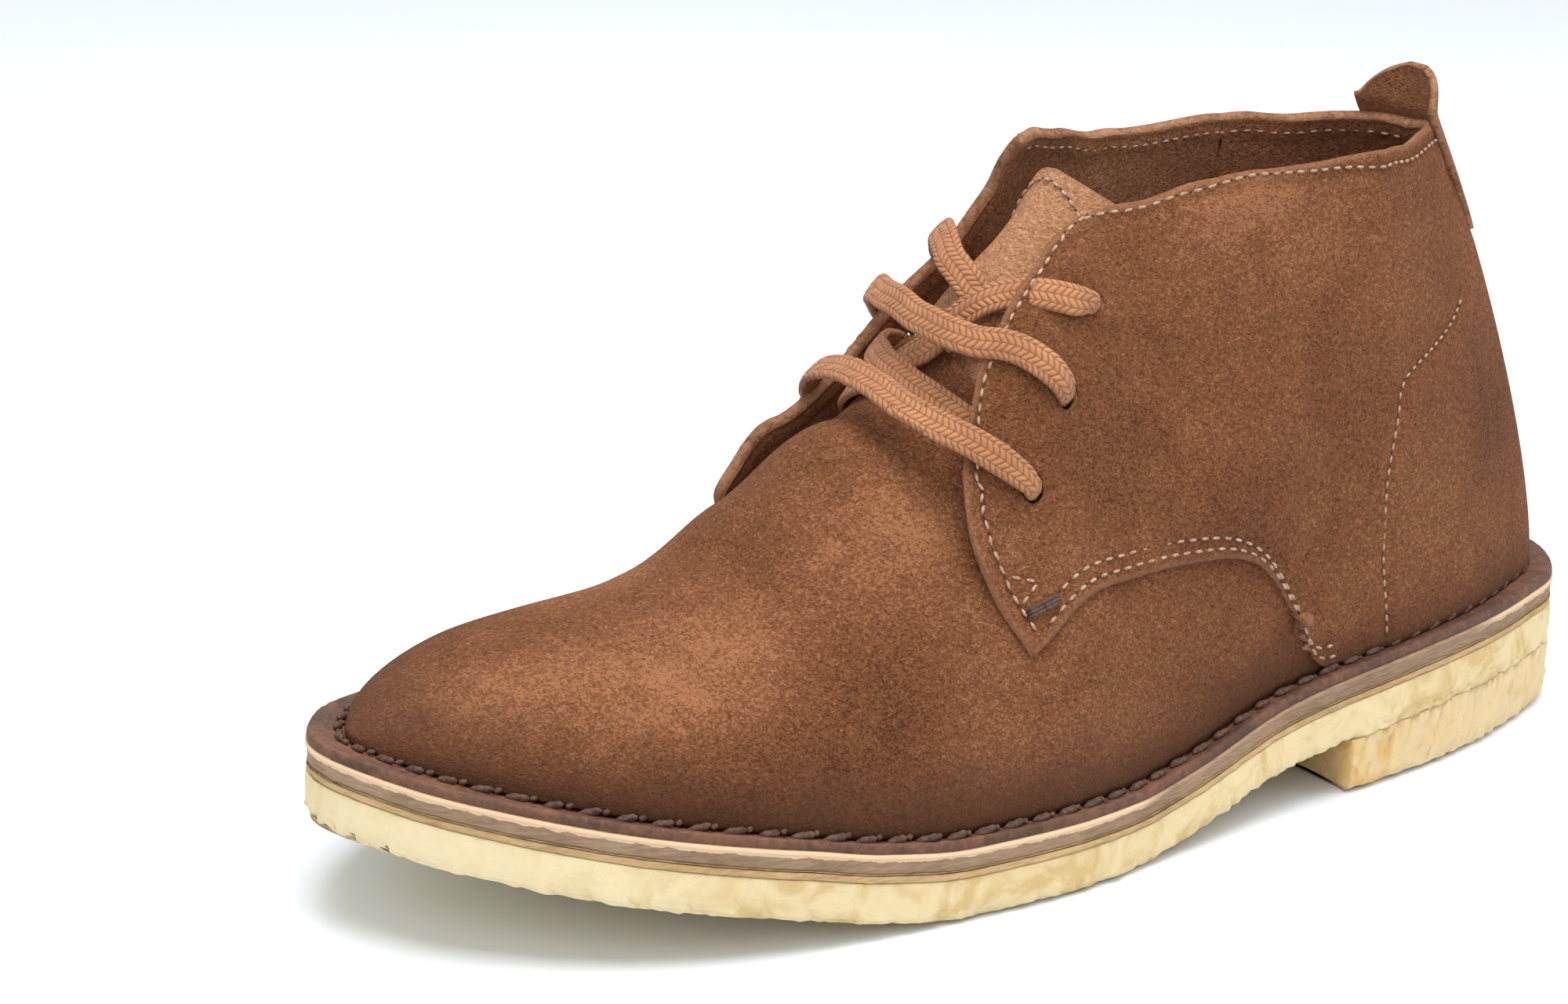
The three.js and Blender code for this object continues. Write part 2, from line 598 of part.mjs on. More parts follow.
function uprightPrism(points) {
  const geometry = new THREE.ExtrudeGeometry(new THREE.Shape(points), { depth: FAR, bevelEnabled: false });
  return solidOf(geometry);
}

const sideX = (at) => heelX + at * SOLE_LENGTH;
const smoothLine = (points, steps) => new THREE.SplineCurve(points).getPoints(steps);
const sideOf = { 1: 'lateral', '-1': 'medial' };
const axisAt = column(SECTIONS.slice(2), 'axis', 'at');
const middleAt = (x) => axisAt((x - featherBack) / (featherTip.x - featherBack)) * BALL_HALF_WIDTH - soleMiddle;
const ankleMiddle = middleAt(heelX + HEEL_LENGTH);

// What lies above the collar as it runs on one side of the foot
function aboveCollar(side) {
  const line = smoothLine(COLLAR_LINE.map((row) => (
    new THREE.Vector2(sideX(row.at), row[sideOf[side]] * COLLAR_HEIGHT))), 28);
  const outline = [
    ...line,
    new THREE.Vector2(line[line.length - 1].x, FAR),
    new THREE.Vector2(line[0].x, FAR),
  ];
  return acrossPrism(outline, -FAR, FAR);
}

function quarterLine(side) {
  const points = QUARTER_LINE.map((row) => new THREE.Vector2(sideX(row[sideOf[side]]), row.up * COLLAR_HEIGHT));
  return [...smoothLine(points.slice(0, 5), 12), ...smoothLine(points.slice(4), 18).slice(1)];
}

function quarterPattern(side) {
  const line = quarterLine(side);
  const outline = [
    ...line,
    new THREE.Vector2(heelX - SOLE_LENGTH, 0),
    new THREE.Vector2(heelX - SOLE_LENGTH, FAR),
    new THREE.Vector2(line[0].x, FAR),
  ];
  if (side > 0) return acrossPrism(outline, ankleMiddle - WALL, FAR);
  return acrossPrism(outline, -FAR, ankleMiddle + WALL);
}

// The vamp runs on under the quarters by its lap
function vampPattern() {
  const line = quarterLine(1).map((p) => new THREE.Vector2(p.x - VAMP_LAP, p.y + VAMP_LAP));
  const outline = [
    ...line,
    new THREE.Vector2(line[line.length - 1].x, -FAR),
    new THREE.Vector2(SOLE_LENGTH, -FAR),
    new THREE.Vector2(SOLE_LENGTH, FAR),
    new THREE.Vector2(line[0].x, FAR),
  ];
  return acrossPrism(outline, -FAR, FAR);
}

function throatPattern(inset) {
  const steps = 16;
  const first = THROAT[0].at;
  const last = THROAT[THROAT.length - 1].at;
  const edge = (side) => {
    const out = column(THROAT, sideOf[side], 'at');
    return Array.from({ length: steps + 1 }, (_, i) => {
      const at = THREE.MathUtils.lerp(first, last, i / steps);
      return new THREE.Vector2(sideX(at), middleAt(sideX(at)) + side * (out(at) * BALL_HALF_WIDTH - inset));
    });
  };
  return uprightPrism([...edge(-1), ...edge(1).reverse()]);
}

// Point on the upper's skin with its outward direction, at a distance from the last
function skinPoint(order, side, share, distance, flared) {
  const step = 1e-3;
  const at = (o, s) => sectionPoint(sectionAt(o), side, s);
  const lowShare = Math.min(share, 1 - step);
  const lowOrder = Math.max(order, step);
  const alongFoot = at(lowOrder + step, lowShare).sub(at(lowOrder - step, lowShare));
  const upward = at(lowOrder, lowShare + step).sub(at(lowOrder, lowShare - step));
  const outward = upward.cross(alongFoot).multiplyScalar(side).normalize();
  if (share > 1 - step) outward.setY(0).normalize();
  const flare = flared ? flareAt(sectionAt(order), side, share) : 0;
  const point = at(order, share).addScaledVector(outward, distance + flare);
  return { point, outward };
}

const vamp = shell(-WALL, 0, false).intersect(vampPattern());
const quarterShell = shell(-WALL, OVERLAY, true).subtract(throatPattern(0));
let upper = vamp;
for (const side of [1, -1]) {
  const quarter = quarterShell.intersect(quarterPattern(side)).subtract(aboveCollar(side));
  upper = upper.add(quarter);
}
for (const side of [1, -1]) {
  for (const row of EYELETS) {
    const { point, outward } = skinPoint(row.section, side, row.share, 0, true);
    const bore = new THREE.CylinderGeometry(EYELET_BORE / 2, EYELET_BORE / 2, 4 * (WALL + OVERLAY), 12);
    bore.applyQuaternion(new THREE.Quaternion().setFromUnitVectors(new THREE.Vector3(0, 1, 0), outward));
    bore.translate(point.x, point.y, point.z);
    upper = upper.subtract(solidOf(bore));
  }
}
addPiece('upper', geometryFrom(upper), 0x8a5430, 0.95);

// Tongue: a curved sheet just inside the vamp and the facings
const tongueShare = column(TONGUE_LINE, 'share', 'section');
const TONGUE_ROWS = 16;
const TONGUE_COLUMNS = 6;

function tongueGrid(distance) {
  const first = TONGUE_LINE[0].section;
  const last = TONGUE_LINE[TONGUE_LINE.length - 1].section;
  return Array.from({ length: TONGUE_ROWS + 1 }, (_, i) => {
    const order = THREE.MathUtils.lerp(first, last, (i / TONGUE_ROWS) ** 1.5);
    const edge = tongueShare(order);
    return Array.from({ length: 2 * TONGUE_COLUMNS + 1 }, (_unused, j) => {
      const across = (j - TONGUE_COLUMNS) / TONGUE_COLUMNS;
      const share = THREE.MathUtils.lerp(1, edge, Math.abs(across));
      return skinPoint(order, across < 0 ? -1 : 1, share, distance, false).point;
    });
  });
}
const tongueTop = -WALL - SEAM;
const tongue = solidOf(slab(tongueGrid(tongueTop), tongueGrid(tongueTop - TONGUE)));
addPiece('tongue', geometryFrom(tongue), 0x8f5a35, 0.95);

// Pull tab: a strip up the back seam, standing above the collar with a round top
const heelSection = sectionAt(0);

function shareAtHeight(height) {
  let low = 0;
  let high = 1;
  for (let i = 0; i < 30; i += 1) {
    const middle = (low + high) / 2;
    if (sectionPoint(heelSection, 1, middle).z < height) low = middle;
    else high = middle;
  }
  return low;
}

function tabGrid(distance) {
  const rows = 12;
  return Array.from({ length: rows + 1 }, (_, i) => {
    const height = COLLAR_HEIGHT + TAB_RISE - TAB_LENGTH * (i / rows) ** 1.3;
    const share = shareAtHeight(Math.min(height, COLLAR_HEIGHT));
    const rise = Math.max(0, height - COLLAR_HEIGHT);
    const back = sectionPoint(heelSection, 1, share);
    const radius = Math.hypot(back.x - heelSection.centre.x, back.y - heelSection.centre.y);
    const corner = Math.max(0, 1 - (COLLAR_HEIGHT + TAB_RISE - height) / (TAB_WIDTH / 2));
    const half = (TAB_WIDTH / 2) * Math.sqrt(1 - 0.8 * corner * corner);
    return Array.from({ length: 9 }, (_unused, j) => {
      const across = (j - 4) / 4;
      const order = Math.abs(across) * THREE.MathUtils.radToDeg(Math.asin(half / radius)) / SECTIONS[1].turn;
      const { point } = skinPoint(order, across < 0 ? -1 : 1, share, distance, false);
      return point.setZ(point.z + rise);
    });
  });
}
const tabInner = OVERLAY + SEAM;
const pullTab = solidOf(slab(tabGrid(tabInner), tabGrid(tabInner + TAB_THICKNESS)));
addPiece('pull_tab', geometryFrom(pullTab), 0x8a5430, 0.95);

// Lace: each strand is a flat ribbon along its table's places
function ribbon(table, steps) {
  const places = table.map((row) => {
    const distance = LACE_THICKNESS / 2 - WALL + row.stand * FLARE;
    return skinPoint(row.section, row.side, row.share, distance, false);
  });
  const middle = new THREE.CatmullRomCurve3(places.map((place) => place.point), false, 'centripetal');
  const lean = new THREE.CatmullRomCurve3(places.map((place) => place.outward), false, 'centripetal');
  const edges = Array.from({ length: steps + 1 }, (_, i) => {
    const t = i / steps;
    const point = middle.getPoint(t);
    const tangent = middle.getTangent(t);
    const outward = lean.getPoint(t).addScaledVector(tangent, -lean.getPoint(t).dot(tangent)).normalize();
    const sideways = tangent.clone().cross(outward).multiplyScalar(LACE_WIDTH / 2);
    return { point, outward: outward.multiplyScalar(LACE_THICKNESS / 2), sideways };
  });
  const grid = (up) => edges.map(({ point, outward, sideways }) => [1, 0, -1].map((across) => (
    point.clone().addScaledVector(outward, up).addScaledVector(sideways, across))));
  return solidOf(slab(grid(1), grid(-1)));
}
const laceColor = 0xb07048;
const facingRoom = shell(-WALL - SEAM, OVERLAY + SEAM, true).subtract(throatPattern(SEAM));
const vampRoom = shell(-WALL - SEAM, SEAM, false).intersect(vampPattern());
const bedded = (solid) => geometryFrom(solid.subtract(facingRoom).subtract(vampRoom));
const crossing = ribbon(TOP_STRAND, 20).add(ribbon(RETURN_STRAND, 14)).add(ribbon(UNDER_STRAND, 12));
addPiece('lace_lower_bar', bedded(ribbon(LOWER_BAR, 24)), laceColor, 0.85);
addPiece('lace_middle_bar', bedded(ribbon(MIDDLE_BAR, 24)), laceColor, 0.85);
addPiece('lace_crossing', bedded(crossing), laceColor, 0.85);

export default group;
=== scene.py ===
import math
import random

import bmesh
import bpy
import numpy as np
from mathutils import Matrix, Vector, noise


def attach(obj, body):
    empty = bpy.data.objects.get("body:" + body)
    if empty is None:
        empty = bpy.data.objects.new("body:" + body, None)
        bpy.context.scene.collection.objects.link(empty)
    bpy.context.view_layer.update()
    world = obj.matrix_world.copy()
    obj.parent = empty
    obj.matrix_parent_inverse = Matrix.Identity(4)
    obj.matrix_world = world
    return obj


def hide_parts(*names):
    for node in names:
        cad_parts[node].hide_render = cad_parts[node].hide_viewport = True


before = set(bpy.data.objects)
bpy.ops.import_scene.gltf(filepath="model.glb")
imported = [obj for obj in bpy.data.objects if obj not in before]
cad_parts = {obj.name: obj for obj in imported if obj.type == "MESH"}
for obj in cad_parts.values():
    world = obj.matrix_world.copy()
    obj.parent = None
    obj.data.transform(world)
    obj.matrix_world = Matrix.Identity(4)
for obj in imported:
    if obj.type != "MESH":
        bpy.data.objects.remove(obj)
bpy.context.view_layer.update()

MM = 0.001

# Sizes of the shoe
SOLE_LENGTH = 295
BALL_HALF_WIDTH = 53
TOE_SPRING = 19
HEEL_RISE = 13.4
HEEL_LENGTH = 87
CREPE = 8.2
BINDER = 1.9
MIDSOLE = 4
WELT = 1.6
WELT_MARGIN = 7
INSOLE = 3
INSOLE_EASE = 2
COLLAR_HEIGHT = 126
VAMP_HEIGHT = 62
WALL = 1.9
FLARE = 10
TONGUE = 2.2
TAB_WIDTH = 25
TAB_THICKNESS = 2
TAB_RISE = 9.5
TAB_LENGTH = 37
LACE_WIDTH = 6.3
LACE_THICKNESS = 2
EYELET_BORE = 4.8
SEAM = 0.3
QUARTER_OUT = 1.3
QUARTER_WALL = 2.5
STITCH_INSET = 3.4

# Sole outline, heel to toe: share of length, lateral and medial shares of the ball's half width,
# share of the widest welt
OUTLINE = [
    (0, -0.085, -0.085, 1), (0.01, 0.14, -0.34, 1), (0.041, 0.362, -0.56, 0.97),
    (0.085, 0.488, -0.672, 0.88), (0.153, 0.632, -0.736, 0.72), (0.254, 0.743, -0.717, 0.6),
    (0.356, 0.794, -0.651, 0.57), (0.458, 0.896, -0.632, 0.52), (0.559, 1, -0.698, 0.46),
    (0.644, 1, -0.821, 0.43), (0.729, 0.962, -0.925, 0.43), (0.797, 0.9, -0.935, 0.49),
    (0.871, 0.745, -0.845, 0.63), (0.932, 0.515, -0.655, 0.8), (0.973, 0.27, -0.445, 0.94),
    (1, -0.132, -0.132, 1),
]
# Underside of the crepe sheet: share of length, shares of heel rise and toe spring
UNDERSIDE = [
    (0, 1, 0), (0.136, 1, 0), (0.254, 0.9, 0), (0.356, 0.64, 0), (0.458, 0.14, 0), (0.51, 0, 0),
    (0.644, 0, 0), (0.712, 0, 0.12), (0.763, 0, 0.29), (0.864, 0, 0.58), (1, 0, 1),
]
# Sections of the last: turn, at, axis, shaft, vamp, belly out and up, shoulder out and up
SECTIONS = [
    (0, 0.242, -0.066, 1.34, 0, 0.99, 0.18, 0.4, 0.86),
    (45, 0.242, -0.066, 1.34, 0, 1, 0.25, 0.5, 0.91),
    (90, 0.242, -0.066, 1.34, 0, 1.05, 0.35, 0.66, 1),
    (90, 0.352, -0.06, 1.29, 0, 1.04, 0.36, 0.6, 1),
    (90, 0.438, -0.045, 1.06, 0, 1.03, 0.4, 0.5, 1),
    (90, 0.498, -0.03, 0.925, 0, 1.02, 0.42, 0.44, 1),
    (90, 0.562, -0.01, 0.787, 0, 1.02, 0.46, 0.42, 1),
    (90, 0.633, 0.01, 0, 1.31, 1.02, 0.52, 0.42, 1),
    (90, 0.689, 0.02, 0, 1.13, 1.02, 0.58, 0.44, 1),
    (90, 0.74, 0.02, 0, 0.92, 1.02, 0.64, 0.47, 1),
    (90, 0.815, 0, 0, 0.8, 1.02, 0.72, 0.52, 1),
    (90, 0.888, -0.04, 0, 0.755, 1.01, 0.72, 0.54, 1),
    (90, 0.95, -0.09, 0, 0.685, 1, 0.68, 0.54, 1),
    (90, 0.984, -0.122, 0, 0.61, 1, 0.62, 0.5, 1),
    (90, 1, -0.132, 0, 0.565, 1, 0.6, 0.5, 1),
]
LAST_ORDER = len(SECTIONS) - 1
# Facings' stand-off: share of the upper's length, lateral, medial
FLARE_LINE = [
    (0.36, 0, 0), (0.4, 0.02, 0.01), (0.45, 0.28, 0.12), (0.5, 0.7, 0.4), (0.56, 0.9, 0.8),
    (0.6, 0.9, 1), (0.64, 0.65, 1), (0.68, 0.35, 0.65), (0.74, 0.05, 0.12), (0.8, 0, 0),
]
FLARE_FROM = 0.33
FLARE_FULL = 0.8
EYELETS = [(6.01, 0.503), (5.49, 0.581), (4.83, 0.661)]
# Tongue, top to front: section, share of its edge
TONGUE_LINE = [
    (4.43, 0.73), (4.46, 0.67), (4.54, 0.62), (4.8, 0.58), (5.2, 0.56), (6, 0.58), (6.85, 0.64),
]
# Medial collar: share of the sole's length, share of the collar height
MEDIAL_COLLAR = [(-0.1, 1), (0.36, 1), (0.42, 1.01), (0.46, 1.01), (0.485, 0.98), (0.51, 0.9)]
# The worn front corner of the medial collar: section and t, how far it stands off, and its reach
CORNER_PLACE = (4.45, -0.16)
CORNER_RAISE = (1.0, -2.0, 4.5)
CORNER_SPREAD = 18
# Medial facing's edge from above: share of the sole's length, share of the half width
MEDIAL_THROAT = [
    (0.43, 0.18), (0.46, 0.23), (0.485, 0.27), (0.51, 0.32), (0.541, 0.375), (0.569, 0.42),
    (0.596, 0.46), (0.616, 0.49), (0.64, 0.53), (0.665, 0.59), (0.69, 0.67),
]
# Medial quarter's corner and arch, seen from the side: share of length, share of collar height
MEDIAL_ARCH = [
    (0.642, 0.374), (0.58, 0.426), (0.51, 0.443), (0.456, 0.44), (0.4, 0.4), (0.366, 0.31),
    (0.328, 0.2), (0.298, 0.05),
]
# Lateral quarter, as section and share of the way from welt to ridge
LATERAL_COLLAR = [
    (0.3, 0.64), (0.56, 0.634), (1, 0.616), (1.46, 0.586), (2, 0.563), (2.53, 0.569), (3.06, 0.592),
    (3.31, 0.617), (3.66, 0.674), (4.22, 0.755), (4.6, 0.79),
]
LATERAL_FACING = [
    (4.6, 0.79), (4.97, 0.799), (5.45, 0.781), (5.92, 0.73), (6.36, 0.669), (6.59, 0.617),
    (6.73, 0.521), (6.65, 0.414), (6.41, 0.283),
]
LATERAL_ARCH = [
    (6.41, 0.283), (5.57, 0.305), (4.61, 0.276), (3.82, 0.234), (3.21, 0.166), (2.88, 0.088),
    (2.62, 0.005),
]
COUNTER_STITCH = [
    (0.85, 0.425), (1.45, 0.352), (1.85, 0.308), (2.12, 0.262), (2.25, 0.2), (2.27, 0.13),
    (2.15, 0.018),
]
# Rear edge of the vamp where the quarters cover it: share, section
VAMP_REAR = {
    1: [(0, 2.3), (0.1, 2.5), (0.2, 3), (0.3, 4.4), (0.36, 5.6), (0.5, 6), (1, 6.15)],
    -1: [(0, 2.1), (0.2, 2.6), (0.35, 3.4), (0.42, 5), (0.5, 6), (1, 6.15)],
}


# Curves and the last
def column(rows, key):
    """Smooth curve through a table's column that never overshoots its rows."""
    at = np.array([row[0] for row in rows], float)
    values = np.array([row[key] for row in rows], float)
    slope = np.diff(values) / np.diff(at)
    same = slope[:-1] * slope[1:] > 0
    total = np.where(same, slope[:-1] + slope[1:], 1)
    middle = np.where(same, 2 * slope[:-1] * slope[1:] / total, 0)
    grade = np.concatenate([slope[:1], middle, slope[-1:]])

    def curve(x):
        x = np.clip(x, at[0], at[-1])
        i = np.clip(np.searchsorted(at, x) - 1, 0, len(at) - 2)
        span = at[i + 1] - at[i]
        t = (x - at[i]) / span
        back = 1 - t
        return (values[i] * back * back * (1 + 2 * t) + grade[i] * span * t * back * back
                + values[i + 1] * t * t * (3 - 2 * t) - grade[i + 1] * span * t * t * back)
    return curve


def smoothstep(x, low, high):
    t = np.clip((x - low) / (high - low), 0, 1)
    return t * t * (3 - 2 * t)


def smooth_loop(points, steps):
    """Closed centripetal curve through the points."""
    points = np.array(points, float)
    count = len(points)
    fine = []
    for k in range(steps):
        i, w = divmod(count * k / steps, 1)
        p0, p1, p2, p3 = (points[(int(i) + d) % count] for d in (-1, 0, 1, 2))
        d0, d1, d2 = (np.sum((b - a) ** 2) ** 0.25 for a, b in ((p0, p1), (p1, p2), (p2, p3)))
        leave = ((p1 - p0) / d0 - (p2 - p0) / (d0 + d1) + (p2 - p1) / d1) * d1
        arrive = ((p2 - p1) / d1 - (p3 - p1) / (d1 + d2) + (p3 - p2) / d2) * d1
        fine.append(p1 + leave * w + (3 * (p2 - p1) - 2 * leave - arrive) * w ** 2
                    + (2 * (p1 - p2) + leave + arrive) * w ** 3)
    return np.array(fine)


HEEL_X = -SOLE_LENGTH / 2
OUTLINE_STEPS = 720
inner_rows = OUTLINE[1:-1]
loop_rows = [(OUTLINE[0][0], OUTLINE[0][2], OUTLINE[0][3])]
loop_rows += [(at, medial, margin) for at, _, medial, margin in inner_rows]
loop_rows += [(OUTLINE[-1][0], OUTLINE[-1][2], OUTLINE[-1][3])]
loop_rows += [(at, lateral, margin) for at, lateral, _, margin in reversed(inner_rows)]
plan = smooth_loop([(at * SOLE_LENGTH, side * BALL_HALF_WIDTH, margin * WELT_MARGIN)
                    for at, side, margin in loop_rows], OUTLINE_STEPS)
chord = np.roll(plan, -1, axis=0) - np.roll(plan, 1, axis=0)
plan_out = np.stack([chord[:, 1], -chord[:, 0]], -1)
plan_out /= np.linalg.norm(plan_out, axis=1)[:, None]
SOLE_MIDDLE = (plan[:, 1].max() + plan[:, 1].min()) / 2


def loop_inside(inset):
    """The sole's outline drawn in by an inset worked out from the welt's margin."""
    return plan[:, :2] - plan_out * inset(plan[:, 2])[:, None] + (HEEL_X, -SOLE_MIDDLE)


sole_loop = loop_inside(lambda margin: margin * 0)
feather_loop = loop_inside(lambda margin: margin)
welt_inner_loop = loop_inside(lambda margin: margin + WALL)
insole_loop = loop_inside(lambda margin: margin + WALL + INSOLE_EASE)

heel_share = column(UNDERSIDE, 1)
toe_share = column(UNDERSIDE, 2)


def underside(x):
    at = (x - HEEL_X) / SOLE_LENGTH
    return heel_share(at) * HEEL_RISE + toe_share(at) * TOE_SPRING


def binder_base(x):
    return underside(x) + CREPE


def midsole_base(x):
    return binder_base(x) + BINDER


def welt_base(x):
    return midsole_base(x) + MIDSOLE


def feather_height(x):
    return welt_base(x) + WELT + SEAM


def distance_to(loop, start, direction):
    """Distance from a point to a loop in one direction."""
    edge = np.roll(loop, -1, axis=0) - loop
    gap = loop - start
    cross = direction[0] * edge[:, 1] - direction[1] * edge[:, 0]
    cross[cross == 0] = 1e-9
    far = (gap[:, 0] * edge[:, 1] - gap[:, 1] * edge[:, 0]) / cross
    share = (gap[:, 0] * direction[1] - gap[:, 1] * direction[0]) / cross
    return max(far[(share >= 0) & (share <= 1)].max(initial=0), 0)


feather_back = feather_loop[:, 0].min()
feather_tip = feather_loop[feather_loop[:, 0].argmax()]
numbered = [(i,) + row for i, row in enumerate(SECTIONS)]
SECTION_STEPS = 40
PLANES = 2 * SECTION_STEPS
orders = np.linspace(0, LAST_ORDER, LAST_ORDER * SECTION_STEPS + 1)
keys = ["turn", "at", "axis", "shaft", "vamp", "belly_out", "belly_up", "shoulder_out", "shoulder_up"]
last = {key: column(numbered, i + 1)(orders) for i, key in enumerate(keys)}
last["x"] = feather_back + last["at"] * (feather_tip[0] - feather_back)
last["y"] = last["axis"] * BALL_HALF_WIDTH - SOLE_MIDDLE
last["y"][-1] = feather_tip[1]
last["ridge"] = last["shaft"] * COLLAR_HEIGHT + last["vamp"] * VAMP_HEIGHT
for side_name, side in (("lateral", 1), ("medial", -1)):
    last[side_name] = np.array([
        distance_to(feather_loop, np.array([x, y]),
                    np.array([-math.cos(math.radians(turn)), side * math.sin(math.radians(turn))]))
        for x, y, turn in zip(last["x"], last["y"], last["turn"])])
    last[side_name][-1] = 0


def last_point(order, t):
    """Point of the last. t: 1 at the lateral welt, 0 at the ridge, -1 at the medial welt."""
    row = {key: np.interp(order, orders, values) for key, values in last.items()}
    side = np.where(t >= 0, 1.0, -1.0)
    share = 1 - np.abs(t)
    angle = np.radians(row["turn"])
    across = -np.cos(angle)
    beside = side * np.sin(angle)
    out = np.where(side > 0, row["lateral"], row["medial"])
    mean = (row["lateral"] + row["medial"]) / 2
    base = feather_height(row["x"] + across * out)
    tall = row["ridge"] - base
    back = 1 - share
    weights = [back ** 3, 3 * back * back * share, 3 * back * share * share, share ** 3]
    outs = [out, out * row["belly_out"], mean * row["shoulder_out"], 0]
    ups = [base, base + tall * row["belly_up"], base + tall * row["shoulder_up"], row["ridge"]]
    reach = sum(w * o for w, o in zip(weights, outs))
    height = sum(w * up for w, up in zip(weights, ups))
    return np.stack([row["x"] + across * reach, row["y"] + beside * reach, height], -1)


flare_lateral = column(FLARE_LINE, 1)
flare_medial = column(FLARE_LINE, 2)


def flare_at(order, t):
    at = np.interp(order, orders, last["at"])
    rising = smoothstep(1 - np.abs(t), FLARE_FROM, FLARE_FULL)
    return FLARE * np.where(t >= 0, flare_lateral(at), flare_medial(at)) * rising


def last_normal(order, t):
    step = 2e-3
    side = np.where(t >= 0, 1.0, -1.0)
    low = np.minimum(1 - np.abs(t), 1 - step)
    order = np.clip(order, step, LAST_ORDER - step)
    along = last_point(order + step, side * (1 - low)) - last_point(order - step, side * (1 - low))
    upward = last_point(order, side * (1 - low - step)) - last_point(order, side * (1 - low + step))
    outward = np.cross(upward, along) * side[..., None]
    outward[..., 2] *= smoothstep(low, 0, 0.05)
    outward[..., 1] *= np.where(np.abs(t) < step, 0, 1)
    return outward / np.maximum(np.linalg.norm(outward, axis=-1), 1e-9)[..., None]


def skin(order, t, lift, flared=True):
    """Points and outward directions of the upper at a distance from the last."""
    order = np.asarray(order, float)
    t = np.asarray(t, float)
    outward = last_normal(order, t)
    stand = lift + (flare_at(order, t) if flared else 0)
    return last_point(order, t) + outward * np.asarray(stand)[..., None], outward


def spot_on_skin(order, t, lift):
    points, _ = skin(np.array([order]), np.array([t]), lift)
    return points[0]


def lengths_along(points):
    """Length walked from the first point to each."""
    return np.concatenate([[0], np.cumsum(np.linalg.norm(np.diff(points, axis=0), axis=1))])


def at_length(walked, lengths, rows):
    """The rows' values at a walked length."""
    return np.stack([np.interp(walked, lengths, rows[:, i]) for i in range(rows.shape[1])], -1)


def corner_raised(points):
    """Lifts what lies near the medial quarter's front corner."""
    corner = spot_on_skin(*CORNER_PLACE, QUARTER_OUT)
    near = np.exp(-(np.linalg.norm(points - corner, axis=1) / CORNER_SPREAD) ** 2)
    return points + near[:, None] * np.array(CORNER_RAISE)


def share_where(order, side, above):
    """Share of the way up a section at which the quarter's outside passes a test line."""
    low = np.full_like(order, 0.02)
    high = np.full_like(order, 0.99)
    for _ in range(26):
        middle = (low + high) / 2
        points, _ = skin(order, side * (1 - middle), QUARTER_OUT)
        past = above(points)
        high = np.where(past, middle, high)
        low = np.where(past, low, middle)
    return (low + high) / 2


def traced(rows, side):
    """Even run along section-and-share rows: a function of 0 to 1 giving both."""
    places = [(i,) + tuple(row) for i, row in enumerate(rows)]
    walk = np.linspace(0, len(rows) - 1, 400)
    order = column(places, 1)(walk)
    share = column(places, 2)(walk)
    points, _ = skin(order, side * (1 - share), QUARTER_OUT)
    length = lengths_along(points)

    def run(s):
        mm = np.asarray(s) * length[-1]
        return np.interp(mm, length, order), np.interp(mm, length, share)
    run.length = length[-1]
    return run


def distance_from(points, line):
    """Shortest distance from each point to a line given by close points."""
    best = np.full(len(points), 1e9)
    for spot in line:
        best = np.minimum(best, np.linalg.norm(points - spot, axis=1))
    return best


# Mesh helpers
MERGE = 0.01
DEGENERATE = 0.002


def close_seams(bm):
    """Joins points that meet, drops faces without area and turns the rest outwards."""
    bmesh.ops.remove_doubles(bm, verts=bm.verts, dist=MERGE * MM)
    bmesh.ops.dissolve_degenerate(bm, edges=bm.edges, dist=DEGENERATE * MM)
    bmesh.ops.recalc_face_normals(bm, faces=bm.faces)


def into_scene(name, data):
    thing = bpy.data.objects.new(name, data)
    bpy.context.scene.collection.objects.link(thing)
    return thing


def mesh_object(bm, name, materials):
    mesh = bpy.data.meshes.new(name)
    bm.to_mesh(mesh)
    bm.free()
    for mat in materials:
        mesh.materials.append(mat)
    return into_scene(name, mesh)


def finish_mesh(bm, name, materials, nodes):
    piece = mesh_object(bm, name, materials)
    piece.data.polygons.foreach_set("use_smooth", [True] * len(piece.data.polygons))
    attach(piece, "root")
    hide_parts(*nodes)
    return piece


def grid_mesh(across, along, place, marks):
    """A grid whose points are set by place(u, v), with named float marks on its points."""
    bm = bmesh.new()
    bmesh.ops.create_grid(bm, x_segments=across, y_segments=along, size=0.5)
    flat = np.array([vert.co for vert in bm.verts])
    u, v = flat[:, 0] + 0.5, flat[:, 1] + 0.5
    points = place(u, v)
    for name, values in marks(u, v, points).items():
        layer = bm.verts.layers.float.new(name)
        for vert, value in zip(bm.verts, values):
            vert[layer] = float(value)
    for vert, point in zip(bm.verts, points):
        vert.co = Vector(point) * MM
    close_seams(bm)
    return bm


def face_outwards(bm, inside):
    """Turns an open sheet over if it looks towards a point inside the shoe."""
    bm.faces.ensure_lookup_table()
    vote = sum((face.calc_center_median() - inside).dot(face.normal) for face in bm.faces)
    if vote < 0:
        bmesh.ops.reverse_faces(bm, faces=bm.faces)


def thicken(piece, wall, lining, edge):
    solid = piece.modifiers.new("wall", "SOLIDIFY")
    solid.thickness = wall * MM
    solid.offset = -1
    solid.use_even_offset = False
    solid.material_offset = lining
    solid.material_offset_rim = edge
    return solid


def relief(points, outward, folds):
    """Depth of the listed folds at each point: below zero in a trough, above on a ridge."""
    depth = np.zeros(len(points))
    for places, amount, width in folds:
        order, t = np.array(places).T
        walk = np.linspace(0, len(order) - 1, 24)
        index = np.arange(len(order))
        line, _ = skin(np.interp(walk, index, order), np.interp(walk, index, t), 0, False)
        spread = distance_from(points, line)
        depth += amount * np.exp(-(spread / width) ** 2)
    return outward * depth[:, None]


